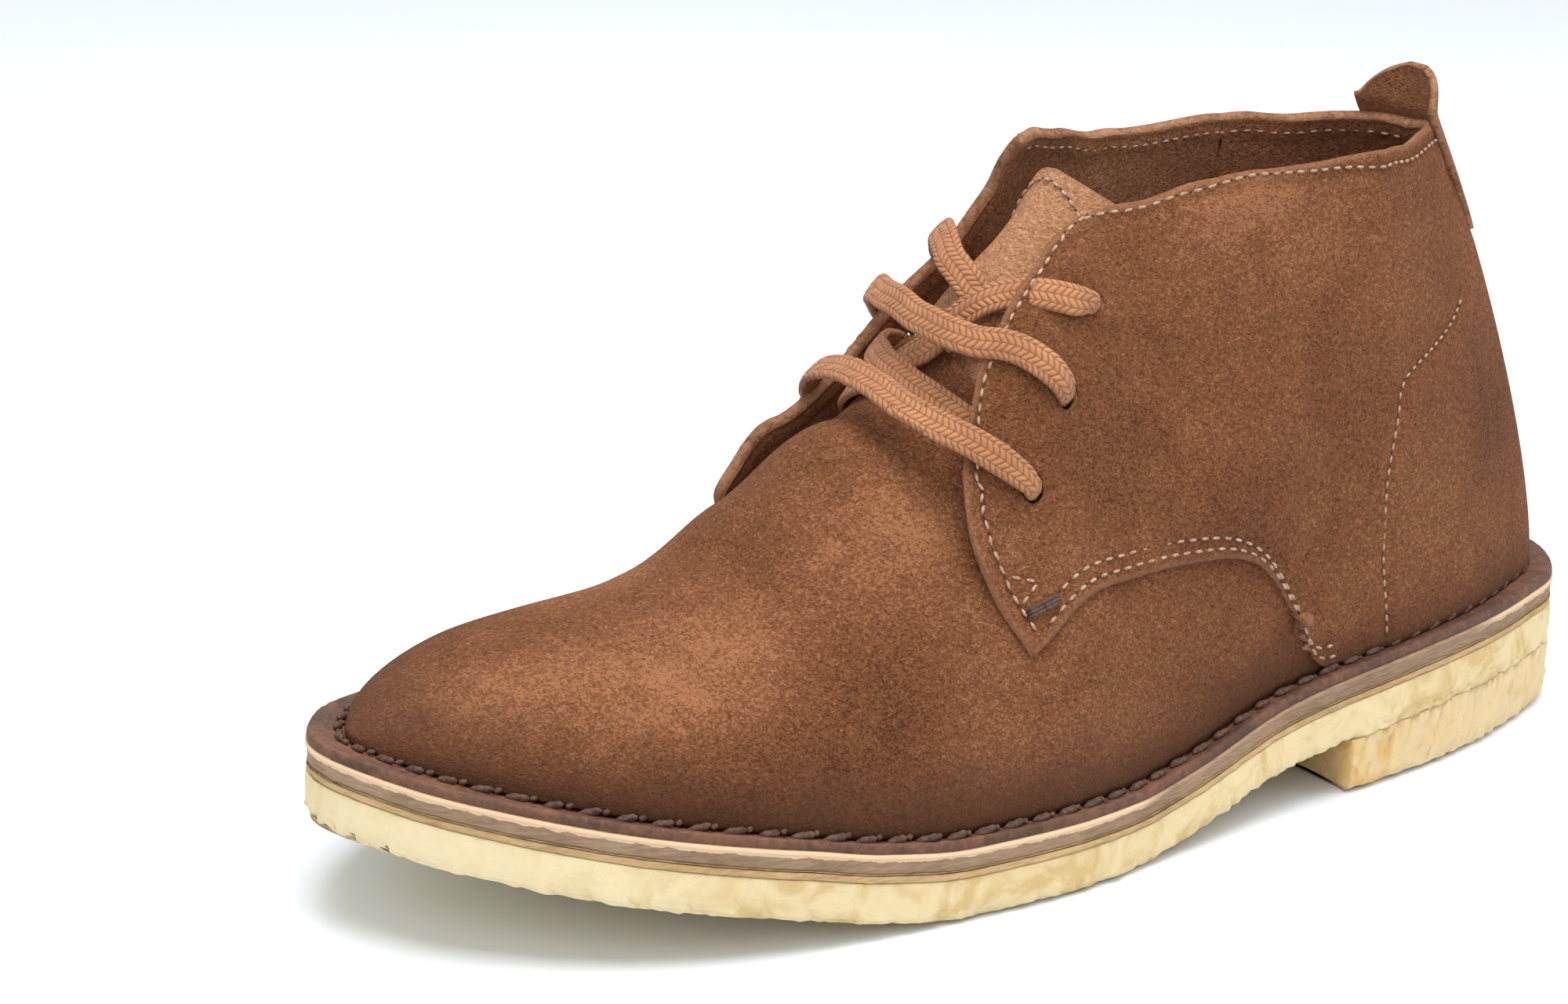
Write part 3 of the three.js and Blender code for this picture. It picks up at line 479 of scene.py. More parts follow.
# Node helpers
class Tree:
    """Adds nodes to a tree; inputs are values or other nodes' sockets."""

    def __init__(self, tree):
        self.tree = tree
        tree.nodes.clear()

    def add(self, kind, inputs=None, **settings):
        node = self.tree.nodes.new("ShaderNode" + kind)
        for key, value in settings.items():
            setattr(node, key, value)
        return self.feed(node, inputs or {})

    def feed(self, node, inputs):
        for key, value in inputs.items():
            if isinstance(value, bpy.types.NodeSocket):
                self.link(value, node.inputs[key])
            else:
                node.inputs[key].default_value = value
        return node

    def use(self, group, inputs):
        node = self.tree.nodes.new("ShaderNodeGroup")
        node.node_tree = group
        return self.feed(node, inputs).outputs

    def link(self, source, target):
        self.tree.links.new(source, target)

    def place(self):
        return self.add("TexCoord").outputs["Object"]

    def math(self, operation, a, b=0.0):
        return self.add("Math", {0: a, 1: b}, operation=operation).outputs[0]

    def times(self, a, b):
        return self.math("MULTIPLY", a, b)

    def plus(self, a, b):
        return self.math("ADD", a, b)

    def span(self, value, low, high, to_low=0.0, to_high=1.0):
        node = self.add("MapRange", {0: value, 1: low, 2: high, 3: to_low, 4: to_high},
                        interpolation_type="SMOOTHSTEP")
        return node.outputs[0]

    def mix(self, factor, a, b):
        node = self.add("Mix", {0: factor, 6: a, 7: b}, data_type="RGBA")
        return node.outputs[2]

    def noise(self, coordinate, scale, detail=3.0, rough=0.55, distort=0.0):
        return self.add("TexNoise", {"Vector": coordinate, "Scale": scale, "Detail": detail,
                                     "Roughness": rough, "Distortion": distort}).outputs[0]

    def mottled(self, fine, cloud_scale, cloud_share, low, high, dark, pale):
        """A colour from dark to pale by a fine noise with a broad one added."""
        cloud = self.noise(self.place(), cloud_scale, 3)
        tone = self.span(self.plus(fine, self.times(cloud, cloud_share)), low, high)
        return self.mix(tone, dark + (1,), pale + (1,))

    def stretched(self, coordinate, scale, turn=(0, 0, 0)):
        return self.add("Mapping", {"Vector": coordinate, "Scale": scale, "Rotation": turn}).outputs[0]

    def attribute(self, name):
        return self.add("Attribute", attribute_name=name).outputs["Fac"]


def new_group(name, inputs, outputs):
    group = bpy.data.node_groups.new(name, "ShaderNodeTree")
    for label, kind in outputs:
        group.interface.new_socket(name=label, in_out="OUTPUT", socket_type="NodeSocket" + kind)
    for label, kind, value in inputs:
        socket = group.interface.new_socket(name=label, in_out="INPUT", socket_type="NodeSocket" + kind)
        socket.default_value = value
    tree = Tree(group)
    given = group.nodes.new("NodeGroupInput")
    result = group.nodes.new("NodeGroupOutput")
    return group, tree, given.outputs, result.inputs


def suede_nap_group():
    """Mottled suede: brushed nap with deep, middle and pale fibres."""
    group, tree, given, result = new_group(
        "suede_nap",
        [("Deep", "Color", (0.1, 0.04, 0.02, 1)), ("Middle", "Color", (0.3, 0.13, 0.06, 1)),
         ("Pale", "Color", (0.5, 0.26, 0.14, 1)), ("Coarseness", "Float", 1.0),
         ("Mottle", "Float", 1.0)],
        [("Color", "Color"), ("Height", "Float")])
    scuff = tree.attribute("scuff")
    place = tree.place()
    scaled = tree.add("VectorMath", {0: place, "Scale": given["Coarseness"]},
                      operation="SCALE").outputs[0]
    cloud = tree.noise(place, 26, 3, 0.55, 0.6)
    patch = tree.noise(place, 95, 4, 0.6, 0.8)
    brushed = tree.stretched(scaled, (1.0, 0.72, 1.25), (0.3, 0.5, 0.2))
    nap = tree.noise(brushed, 1000, 4, 0.75, 0.6)
    fibre = tree.noise(brushed, 2100, 2, 0.7, 0.3)
    broad = tree.plus(tree.times(cloud, 0.62), tree.times(patch, 0.38))
    toned = tree.times(tree.math("SUBTRACT", broad, 0.5), given["Mottle"])
    speck = tree.plus(tree.times(nap, 0.5), tree.times(fibre, 0.5))
    tone = tree.plus(tree.times(toned, 1.6),
                     tree.times(tree.math("SUBTRACT", speck, 0.5), 5.6))
    ragged = tree.span(tree.noise(place, 170, 4), 0.2, 0.8, 0.5, 1.5)
    tone = tree.plus(tone, tree.times(tree.times(scuff, ragged), 1.0))
    to_pale = tree.span(tone, 0.0, 0.8)
    to_deep = tree.span(tone, 0.0, -0.8)
    color = tree.mix(to_pale, given["Middle"], given["Pale"])
    color = tree.mix(to_deep, color, given["Deep"])
    tree.link(color, result["Color"])
    tree.link(speck, result["Height"])
    return group


def cut_edge_group():
    """Pale frayed band beside a cut edge, read from the edge mark in millimetres."""
    group, tree, given, result = new_group(
        "cut_edge",
        [("Color", "Color", (0.3, 0.13, 0.06, 1)), ("Frayed", "Color", (0.5, 0.26, 0.14, 1)),
         ("Reach", "Float", 1.0), ("Amount", "Float", 0.7)],
        [("Color", "Color"), ("Mask", "Float")])
    ragged = tree.times(tree.noise(tree.place(), 420, 3), given["Reach"])
    near = tree.plus(tree.attribute("edge"), tree.times(ragged, -0.9))
    mask = tree.times(tree.span(near, given["Reach"], 0.0), given["Amount"])
    tree.link(tree.mix(mask, given["Color"], given["Frayed"]), result["Color"])
    tree.link(mask, result["Mask"])
    return group


def welt_shade_group():
    """Painted shade: a darker tone towards the welt, where the upper meets the sole."""
    group, tree, given, result = new_group(
        "painted_welt_shade",
        [("Color", "Color", (0.3, 0.13, 0.06, 1)), ("Dark", "Color", (0.09, 0.035, 0.018, 1)),
         ("Height", "Float", 19.0)],
        [("Color", "Color")])
    wobble = tree.times(tree.math("SUBTRACT", tree.noise(tree.place(), 60, 3), 0.5), 14.0)
    level = tree.plus(tree.attribute("foot"), wobble)
    low = tree.times(tree.span(level, given["Height"], 0.0), 0.8)
    tree.link(tree.mix(low, given["Color"], given["Dark"]), result["Color"])
    return group


def crepe_grain_group():
    """Raw crepe rubber: cloudy cream with honey stains and painted shade, specks and fine crumb."""
    group, tree, given, result = new_group(
        "crepe_grain",
        [("Cream", "Color", (0.72, 0.58, 0.33, 1)), ("Honey", "Color", (0.55, 0.36, 0.14, 1)),
         ("Stain and shade", "Float", 0.5)],
        [("Color", "Color"), ("Height", "Float")])
    place = tree.place()
    cloud = tree.span(tree.noise(place, 70, 4, 0.6, 1.2), 0.4, 0.75)
    stain_and_shade_share = tree.times(tree.plus(cloud, 0.4), given["Stain and shade"])
    color = tree.mix(stain_and_shade_share, given["Cream"], given["Honey"])
    drawn = tree.stretched(place, (1, 1, 3.2))
    streak = tree.span(tree.noise(drawn, 210, 5, 0.65, 1.5), 0.6, 0.78)
    color = tree.mix(tree.times(streak, 0.35), color, given["Honey"])
    cells = tree.add("TexVoronoi", {"Vector": place, "Scale": 210.0}).outputs["Distance"]
    speck = tree.span(cells, 0.1, 0.03)
    rare = tree.span(tree.noise(place, 130, 2), 0.6, 0.66)
    color = tree.mix(tree.times(speck, rare), color, (0.24, 0.11, 0.03, 1))
    crumb = tree.noise(place, 900, 4, 0.7)
    lump = tree.noise(place, 260, 3, 0.6)
    height = tree.plus(tree.times(crumb, 0.4), lump)
    tree.link(color, result["Color"])
    tree.link(height, result["Height"])
    return group


def braid_group():
    """Flat braid in herringbone ribs, along the piece's own map (millimetres, 0 to 1 across), with a
    mask of its grooves for painted shade.
    """
    group, tree, given, result = new_group(
        "braid",
        [("Pitch", "Float", 1.35), ("Slant", "Float", 4.4)],
        [("Height", "Float"), ("Groove shade", "Float")])
    uv = tree.add("SeparateXYZ", {0: tree.add("UVMap", uv_map="lay").outputs[0]})
    along, across = uv.outputs[0], uv.outputs[1]
    folded = tree.math("PINGPONG", across, 0.25)
    slanted = tree.times(folded, given["Slant"])
    phase = tree.math("DIVIDE", tree.plus(along, slanted), given["Pitch"])
    rib = tree.math("ABSOLUTE", tree.math("SINE", tree.times(phase, math.pi)))
    wale = tree.math("ABSOLUTE", tree.math("SINE", tree.times(across, 4 * math.pi)))
    height = tree.times(tree.math("POWER", rib, 0.6), tree.math("POWER", wale, 0.35))
    tree.link(height, result["Height"])
    tree.link(tree.span(height, 0.62, 0.15), result["Groove shade"])
    return group


suede_nap = suede_nap_group()
frayed_edge = cut_edge_group()
welt_shade = welt_shade_group()
crepe_grain = crepe_grain_group()
braid_ribs = braid_group()


def start_material(name):
    mat = bpy.data.materials.new(name)
    mat.use_nodes = True
    tree = Tree(mat.node_tree)
    return mat, tree


def close_material(tree, color, rough, height=None, strength=0.4, depth=0.3, **plain):
    """Ends a material in one shader: colour, roughness, and a bump in millimetres."""
    shader = tree.add("BsdfPrincipled", {"Base Color": color, "Roughness": rough})
    for key, value in plain.items():
        shader.inputs[key.replace("_", " ")].default_value = value
    if height is not None:
        bump = tree.add("Bump", {"Strength": strength, "Distance": depth * MM, "Height": height})
        tree.link(bump.outputs[0], shader.inputs["Normal"])
    output = tree.add("OutputMaterial")
    tree.link(shader.outputs[0], output.inputs[0])


def suede(name, deep, middle, pale, coarse=1.0, mottle=1.0, frayed=0.5):
    mat, tree = start_material(name)
    nap = tree.use(suede_nap, {"Deep": deep + (1,), "Middle": middle + (1,), "Pale": pale + (1,),
                               "Coarseness": coarse, "Mottle": mottle})
    # Painted shade: the colour darkens towards the welt.
    shaded = tree.use(welt_shade, {"Color": nap["Color"]})
    edge = tree.use(frayed_edge, {"Color": shaded["Color"], "Frayed": (0.36, 0.17, 0.09, 1),
                                  "Amount": frayed})
    rough = tree.span(nap["Height"], 0.2, 0.8, 0.98, 0.82)
    close_material(tree, edge["Color"], rough, nap["Height"], 0.9, 1.5,
                   Sheen_Weight=0.06, Sheen_Roughness=0.5, Sheen_Tint=(0.85, 0.6, 0.42, 1),
                   Specular_IOR_Level=0.1)
    return mat


def raw_edge(name, dark, pale):
    mat, tree = start_material(name)
    fray = tree.noise(tree.place(), 700, 5, 0.7, 1.0)
    color = tree.mottled(fray, 90, 0.6, 0.5, 1.1, dark, pale)
    close_material(tree, color, 0.95, fray, 0.8, 0.5, Specular_IOR_Level=0.1)
    return mat


def crepe(name, cream, honey, stain_and_shade, honey_shade_from, honey_shade_to):
    """Crepe with more honey over one stretch of the sole, given in metres along it: honey staining, and
    painted shade where it darkens the sheet's ball.
    """
    mat, tree = start_material(name)
    place = tree.place()
    along = tree.add("SeparateXYZ", {0: place}).outputs[0]
    # The honey stretch is partly real staining and partly painted shade over the sheet's ball.
    shaded = tree.times(tree.span(along, honey_shade_from - 0.002, honey_shade_from + 0.03),
                     tree.span(along, honey_shade_to + 0.06, honey_shade_to))
    stain_and_shade = tree.plus(stain_and_shade, tree.times(shaded, 0.7))
    grain = tree.use(crepe_grain, {"Cream": cream + (1,), "Honey": honey + (1,), "Stain and shade": stain_and_shade})
    rough = tree.span(grain["Height"], 0.5, 1.0, 0.72, 0.5)
    close_material(tree, grain["Color"], rough, grain["Height"], 0.7, 0.8,
                   Subsurface_Weight=0.12, Subsurface_Radius=(0.004, 0.0025, 0.001))
    return mat


def layered_leather(name, dark, pale, strip, strip_from):
    """Stacked leather board: ruled fibres along the edge and a raw strip along its top."""
    mat, tree = start_material(name)
    place = tree.place()
    ruled = tree.stretched(place, (1, 1, 9))
    fibre = tree.noise(ruled, 240, 5, 0.65, 0.8)
    color = tree.mottled(fibre, 60, 0.5, 0.45, 1.0, dark, pale)
    level = tree.attribute("level")
    rag = tree.times(tree.math("SUBTRACT", tree.noise(place, 330, 3), 0.5), 0.4)
    mask = tree.span(tree.plus(level, rag), strip_from - 0.03, strip_from + 0.03)
    color = tree.mix(tree.times(mask, tree.attribute("strip")), color, strip + (1,))
    close_material(tree, color, 0.85, fibre, 0.6, 0.35, Specular_IOR_Level=0.2)
    return mat


def welt_leather(name):
    mat, tree = start_material(name)
    fine = tree.noise(tree.place(), 520, 5, 0.7, 0.6)
    color = tree.mottled(fine, 80, 0.7, 0.6, 1.15, (0.06, 0.024, 0.012), (0.19, 0.075, 0.036))
    color = tree.mix(tree.span(tree.attribute("level"), 0.62, 0.18), color, (0.25, 0.095, 0.042, 1))
    close_material(tree, color, 0.7, fine, 0.7, 0.4)
    return mat


def thread_material(name, dark, pale):
    mat, tree = start_material(name)
    twist = tree.noise(tree.place(), 1400, 2)
    color = tree.mix(tree.span(twist, 0.3, 0.7), dark + (1,), pale + (1,))
    close_material(tree, color, 0.75, twist, 0.4, 0.15)
    return mat


def lace_material():
    mat, tree = start_material("lace_braid")
    braid = tree.use(braid_ribs, {})
    place = tree.place()
    soft = tree.noise(place, 120, 3)
    fibre = tree.noise(place, 1900, 2)
    color = tree.mix(tree.span(soft, 0.35, 0.7), (0.34, 0.136, 0.058, 1), (0.45, 0.195, 0.086, 1))
    color = tree.mix(tree.times(fibre, 0.4), color, (0.62, 0.3, 0.142, 1))
    # Painted shade: the braid's grooves are darkened.
    color = tree.mix(tree.times(braid["Groove shade"], 0.55), color, (0.12, 0.042, 0.018, 1))
    height = tree.plus(braid["Height"], tree.times(fibre, 0.25))
    close_material(tree, color, 0.85, height, 0.8, 0.55, Sheen_Weight=0.1, Specular_IOR_Level=0.2)
    return mat


def leather_lining(name, dark, pale):
    mat, tree = start_material(name)
    grain = tree.noise(tree.place(), 480, 4, 0.6)
    color = tree.mottled(grain, 45, 1.0, 0.7, 1.3, dark, pale)
    close_material(tree, color, 0.9, grain, 0.5, 0.3, Specular_IOR_Level=0.2)
    return mat


suede_upper = suede("suede_cognac", (0.08, 0.027, 0.0105), (0.19, 0.069, 0.0275), (0.36, 0.152, 0.069))
suede_tongue = suede("suede_tongue", (0.21, 0.09, 0.045), (0.41, 0.195, 0.1), (0.6, 0.32, 0.178), 0.9)
suede_tab = suede("suede_tab", (0.14, 0.054, 0.025), (0.29, 0.118, 0.055), (0.46, 0.208, 0.105),
                  1, 1, 0.4)
lining = suede("suede_flesh", (0.12, 0.048, 0.022), (0.27, 0.112, 0.052), (0.43, 0.2, 0.1), 0.8, 1, 0.3)
cut_edge = raw_edge("suede_cut_edge", (0.14, 0.058, 0.028), (0.42, 0.215, 0.12))
insole_leather = leather_lining("insole_leather", (0.17, 0.085, 0.045), (0.3, 0.16, 0.09))
crepe_sheet = crepe("crepe_sheet", (0.77, 0.65, 0.4), (0.56, 0.4, 0.17), 0.3, -0.2, 0.07)
crepe_block = crepe("crepe_block", (0.7, 0.56, 0.33), (0.62, 0.4, 0.15), 0.4, -0.088, 0.05)
binder_board = layered_leather("binder_board", (0.36, 0.22, 0.095), (0.6, 0.42, 0.21),
                               (0.6, 0.42, 0.21), 2)
midsole_board = layered_leather("midsole_board", (0.23, 0.14, 0.085), (0.42, 0.275, 0.175),
                                (0.74, 0.52, 0.33), 0.62)
welt_strip = welt_leather("welt_leather")
pale_thread = thread_material("stitch_thread", (0.3, 0.17, 0.1), (0.52, 0.35, 0.23))
brown_thread = thread_material("welt_thread", (0.04, 0.018, 0.011), (0.12, 0.058, 0.033))
needle_hole_shade = thread_material("needle_hole_shade", (0.035, 0.015, 0.008), (0.07, 0.03, 0.016))
lace_braid = lace_material()


# Camera at the photograph's angle to the shoe
def aim_camera():
    azimuth, elevation, roll = map(math.radians, (142.1334325, 17.6473759, 1.6753635))
    yaw, pitch = map(math.radians, (-3.5877364, 0.1371872))
    distance = 724.7278
    focal_px, frame_px, sensor_mm = 4657.0028, 2000, 36
    middle = Vector((-2.5, -1.4348, 55))
    back = Vector((math.sin(azimuth) * math.cos(elevation), -math.cos(azimuth) * math.cos(elevation),
                   math.sin(elevation)))
    upright = Vector((0, 0, 1))
    ahead = -back
    right = ahead.cross(upright).normalized()
    up = right.cross(ahead)
    ahead = (ahead + math.tan(yaw) * right + math.tan(pitch) * up).normalized()
    right = ahead.cross(upright).normalized()
    up = right.cross(ahead)
    right, up = (right * math.cos(roll) + up * math.sin(roll),
                 up * math.cos(roll) - right * math.sin(roll))
    data = bpy.data.cameras.new("camera")
    data.sensor_width = sensor_mm
    data.lens = focal_px / frame_px * sensor_mm
    data.clip_start = 0.01
    camera = into_scene("camera", data)
    turn = Matrix((right, up, -ahead)).transposed().to_4x4()
    camera.matrix_world = Matrix.Translation((middle + back * distance) * MM) @ turn
    bpy.context.scene.camera = camera


aim_camera()


# Sole
STATIONS = 300
ACROSS = 14
# Lumps, grit and chips of a torn edge, in waves per millimetre, and the shares of its height they cover
LUMPS = 0.45
GRIT = 1.1
CHIPS = 0.6
LOWER_PART = 0.2
UNDER_FACE = 0.02


def stations(loop, end):
    """Places along the sole with the loop's medial and lateral reach at each."""
    tip_back, tip_front = loop[:, 0].argmin(), loop[:, 0].argmax()
    first, last_tip = sorted((tip_back, tip_front))
    one = loop[first:last_tip + 1]
    other = np.concatenate([loop[last_tip:], loop[:first + 1]])
    runs = [run if run[0, 0] < run[-1, 0] else run[::-1] for run in (one, other)]
    medial, lateral = sorted(runs, key=lambda run: run[len(run) // 2, 1])
    low, high = loop[:, 0].min(), min(end, loop[:, 0].max())
    walk = np.linspace(0, 1, STATIONS + 1)
    whole = end > loop[:, 0].max()
    share = (1 - np.cos(math.pi * walk)) / 2 if whole else 1 - np.cos(math.pi * walk / 2)
    x = low + (high - low) * share
    return x, np.interp(x, medial[:, 0], medial[:, 1]), np.interp(x, lateral[:, 0], lateral[:, 1])


def slab(loop, base, profile, end=math.inf, ragged=0.0, upper_rough=0.35):
    """A layer of the sole: a sheet on base(x), raised through the profile's (out, height) rows."""
    x, medial, lateral = stations(loop, end)
    steps = len(x) - 1
    bm = bmesh.new()
    bmesh.ops.create_grid(bm, x_segments=steps, y_segments=ACROSS, size=0.5)
    away = bm.verts.layers.float_vector.new("away")
    for vert in bm.verts:
        i = round((vert.co.x + 0.5) * steps)
        share = vert.co.y + 0.5
        y = medial[i] + (lateral[i] - medial[i]) * share
        border = vert.is_boundary
        vert.co = (x[i], y, float(base(x[i])))
        if border:
            gap = np.linalg.norm(loop - (x[i], y), axis=1).argmin()
            outward = plan_out[gap]
            flat_end = i == steps and end < math.inf
            vert[away] = (1, 0, 0) if flat_end and 0 < share < 1 else (outward[0], outward[1], 0)
    bmesh.ops.recalc_face_normals(bm, faces=bm.faces)
    level = bm.verts.layers.float.new("level")
    strip = bm.verts.layers.float.new("strip")
    for vert in bm.verts:
        vert.co += Vector(vert[away]) * profile[0][0]
    cap = bm.faces[:]
    before = profile[0]
    height = profile[-1][1] - profile[0][1]
    for out, up in profile[1:]:
        grown = bmesh.ops.extrude_face_region(bm, geom=cap)["geom"]
        cap = [item for item in grown if isinstance(item, bmesh.types.BMFace)]
        for vert in (item for item in grown if isinstance(item, bmesh.types.BMVert)):
            vert.co += Vector(vert[away]) * (out - before[0])
            vert.co.z += up - before[1]
            vert[level] = (up - profile[0][1]) / height
        before = (out, up)
    for vert in bm.verts:
        vert[strip] = strip_share(vert.co.x)
        if ragged and Vector(vert[away]).length > 0.5:
            rough = noise.noise(vert.co * LUMPS) + 0.6 * noise.noise(vert.co * GRIT)
            torn = 1 if vert[level] < LOWER_PART else upper_rough
            vert.co += Vector(vert[away]) * rough * ragged * torn
            if vert[level] < UNDER_FACE:
                vert.co.z += max(0, noise.noise(vert.co * CHIPS)) * ragged * 0.6
    for vert in bm.verts:
        vert.co *= MM
    close_seams(bm)
    return bm


# Where the midsole's raw strip fades out, going back from the forepart and forward from the heel
STRIP_FORE = (-8, 6)
STRIP_REAR = (96, 110)


def strip_share(x):
    return max(float(smoothstep(x, *STRIP_FORE)), float(smoothstep(-x, *STRIP_REAR)) * 0.9)


# Edges of the sole's layers, bottom to top: out and up
SHEET_EDGE = [
    (-1.1, 0), (-0.35, 0.5), (0.05, 1.3), (0.25, 2.8), (0.3, 4.6), (0.2, 6.4), (0.12, 7.7),
    (-0.1, CREPE),
]
BINDER_EDGE = [(-0.25, 0), (0, 0.3), (0.1, 0.9), (0, 1.5), (-0.25, BINDER - 0.1)]
BOARD_EDGE = [
    (-0.35, 0), (-0.1, 0.25), (-0.1, 1.2), (-0.05, 2.2), (0.0, 2.9), (0.25, 3.1), (0.25, 3.6),
    (-0.2, 3.9),
]
INSOLE_EDGE = [(-0.6, 0), (0, 0.5), (0, 2.1), (-0.6, INSOLE - SEAM)]
# The heel block's edge has its heights as shares, because its top follows the sheet
HEEL_EDGE = [(-1.3, 0), (-0.3, 0.06), (0.1, 0.2), (0.25, 0.4), (0.25, 0.6), (0.2, 0.8), (0.15, 1)]
BED = SEAM * 0.3
BACK_CORNER = 139.5


def square_over_heel(sheet):
    """Fills out the sheet's rounded lower edge where the heel block sits under it."""
    away = sheet.verts.layers.float_vector["away"]
    level = sheet.verts.layers.float["level"]
    for vert in sheet.verts:
        if vert.co.x < (HEEL_X + HEEL_LENGTH - 1) * MM:
            missing = np.interp(vert[level] * CREPE, [0, 0.5, 1.3], [1.2, 0.5, 0.1])
            vert.co += Vector(vert[away]) * float(missing) * MM


def make_sole():
    sheet = slab(sole_loop, underside, SHEET_EDGE, ragged=0.8)
    square_over_heel(sheet)
    finish_mesh(sheet, "outsole_crepe", [crepe_sheet], ["outsole"])
    layer = slab(sole_loop, lambda x: binder_base(x) + BED, BINDER_EDGE, ragged=0.25)
    finish_mesh(layer, "binder_layer", [binder_board], ["binder"])
    board = slab(sole_loop, lambda x: midsole_base(x) + BED, BOARD_EDGE, ragged=0.2)
    finish_mesh(board, "midsole_board", [midsole_board], ["midsole"])
    inner = slab(insole_loop, lambda x: welt_base(x) + SEAM, INSOLE_EDGE)
    finish_mesh(inner, "insole_board", [insole_leather], ["insole"])
    height = HEEL_RISE - SEAM
    block = slab(sole_loop, lambda x: 0, [(out, share * height) for out, share in HEEL_EDGE],
                 end=HEEL_X + HEEL_LENGTH, ragged=0.75, upper_rough=1)
    for vert in block.verts:
        x = vert.co.x / MM
        share = vert.co.z / (height * MM)
        vert.co.z = share * (float(underside(x)) - 0.02) * MM
        corner = max(0.0, (-x - BACK_CORNER) / 8.0) * max(0.0, 1 - share * 3)
        vert.co.x += 2.6 * corner * MM
    finish_mesh(block, "heel_crepe", [crepe_block], ["heel"])


# The welt's section: share of the way in, share of its thickness
WELT_SECTION = [
    (0, 0), (0, 0.55), (0.03, 0.95), (0.1, 1.15), (0.2, 1.08), (0.5, 0.95), (0.72, 0.72),
    (0.85, 0.7), (1, 0.8), (1, 0), (0, 0),
]


def make_welt():
    """A rounded strip on the midsole's rim, from under the upper out to the lip."""
    across, up = np.array(WELT_SECTION).T
    walk = np.linspace(0, 1, len(WELT_SECTION))

    def place(u, v):
        i = u * OUTLINE_STEPS
        low = np.floor(i).astype(int) % OUTLINE_STEPS
        inside = np.interp(v, walk, across)
        height = np.interp(v, walk, up)
        outer, inner = sole_loop[low], welt_inner_loop[low]
        flat = outer + (inner - outer) * inside[:, None]
        z = welt_base(flat[:, 0]) + BED + height * WELT
        rough = [noise.noise(Vector((x * 0.5, y * 0.5, h))) for x, y, h in zip(*flat.T, v * 4)]
        z = z + np.array(rough) * 0.16 * (height > 0.5)
        return np.stack([flat[:, 0], flat[:, 1], z], -1)

    def marks(u, v, points):
        return {"level": np.interp(v, walk, 1 - across)}
    bm = grid_mesh(OUTLINE_STEPS, len(WELT_SECTION) - 1, place, marks)
    finish_mesh(bm, "welt_strip", [welt_strip], ["welt"])


make_sole()
make_welt()

# Folds of the vamp and quarters: section and t along each, depth in mm, width in mm
VAMP_FOLDS = [
    ([(9.6, 0.52), (9.2, 0.3), (9.05, 0.05), (9.2, -0.25), (9.5, -0.5)], -0.9, 9),
    ([(8.7, 0.45), (8.4, 0.2), (8.35, 0), (8.5, -0.3)], 0.5, 7),
    ([(8.0, 0.4), (7.8, 0.2), (7.75, 0.0), (7.9, -0.3)], -0.7, 7),
    ([(10.6, 0.75), (10.0, 0.6), (9.4, 0.55)], -0.7, 8),
    ([(8.4, 0.72), (8.0, 0.6), (7.3, 0.5)], -0.6, 6),
    ([(11.6, 0.35), (11.3, 0.05), (11.5, -0.3)], 0.4, 9),
]
QUARTER_FOLDS = [
    ([(3.1, 0.5), (3.6, 0.56), (4.2, 0.6)], -0.9, 9),
    ([(2.4, 0.62), (2.9, 0.68), (3.5, 0.72)], 0.7, 8),
    ([(4.6, 0.42), (4.2, 0.5), (3.8, 0.56)], -0.6, 6),
    ([(5.4, 0.5), (5.0, 0.6), (4.6, 0.68)], 0.5, 7),
    ([(3.1, -0.5), (3.6, -0.56), (4.2, -0.6)], -0.9, 9),
    ([(5.4, -0.5), (5.0, -0.6), (4.6, -0.68)], 0.5, 7),
    ([(0.6, 0.45), (1.3, 0.5), (2.0, 0.52)], -0.6, 7),
    ([(0.6, -0.45), (1.3, -0.5), (2.0, -0.52)], -0.6, 7),
]
# Scuffs and dark patches: section, t, radius in mm, strength (below zero is dark)
SCUFFS = [
    (10.9, 0.32, 17, 0.42), (10.1, 0.5, 13, 0.4), (11.9, 0.2, 14, 0.35), (9.6, 0.28, 16, 0.3),
    (7.7, 0.3, 16, 0.4), (7.1, 0.42, 7, 0.3), (8.6, 0.82, 20, -0.3), (10.2, 0.85, 18, -0.3),
    (12.4, 0.85, 16, -0.3), (3.2, 0.42, 16, 0.35), (2.4, 0.5, 18, 0.12), (1.2, 0.5, 14, 0.1),
    (4.6, 0.55, 18, -0.1), (5.4, 0.5, 15, -0.12), (3.4, 0.75, 18, -0.2), (1.2, 0.85, 18, 0.1),
    (0.8, 0.72, 14, -0.3), (2.3, 0.8, 18, 0.08), (5.7, 0.68, 8, 0.25), (9.5, -0.4, 18, 0.3),
    (11, -0.5, 18, -0.3), (3.0, -0.5, 20, 0.3), (1.5, -0.6, 18, -0.3), (7.3, 0.85, 14, 0.2),
]


def scuff_marks(points):
    marks = np.zeros(len(points))
    for order, t, radius, strength in SCUFFS:
        away = np.linalg.norm(points - spot_on_skin(order, t, 0), axis=1)
        marks += strength * np.exp(-(away / radius) ** 2)
    return marks


def foot_marks(points):
    return points[:, 2] - feather_height(points[:, 0])


# Vamp
ridge_points, _ = skin(orders, np.full_like(orders, 0.45), 0, False)
walk_length = lengths_along(ridge_points)
vamp_rear = {side: column(rows, 1) for side, rows in VAMP_REAR.items()}


def vamp_place(u, v):
    t = 1 - 2 * u
    share = 1 - np.abs(t)
    rear = np.where(t >= 0, vamp_rear[1](share), vamp_rear[-1](share))
    start = np.interp(rear, orders, walk_length)
    order = np.interp(start + (walk_length[-1] - start) * v, walk_length, orders)
    return order, t


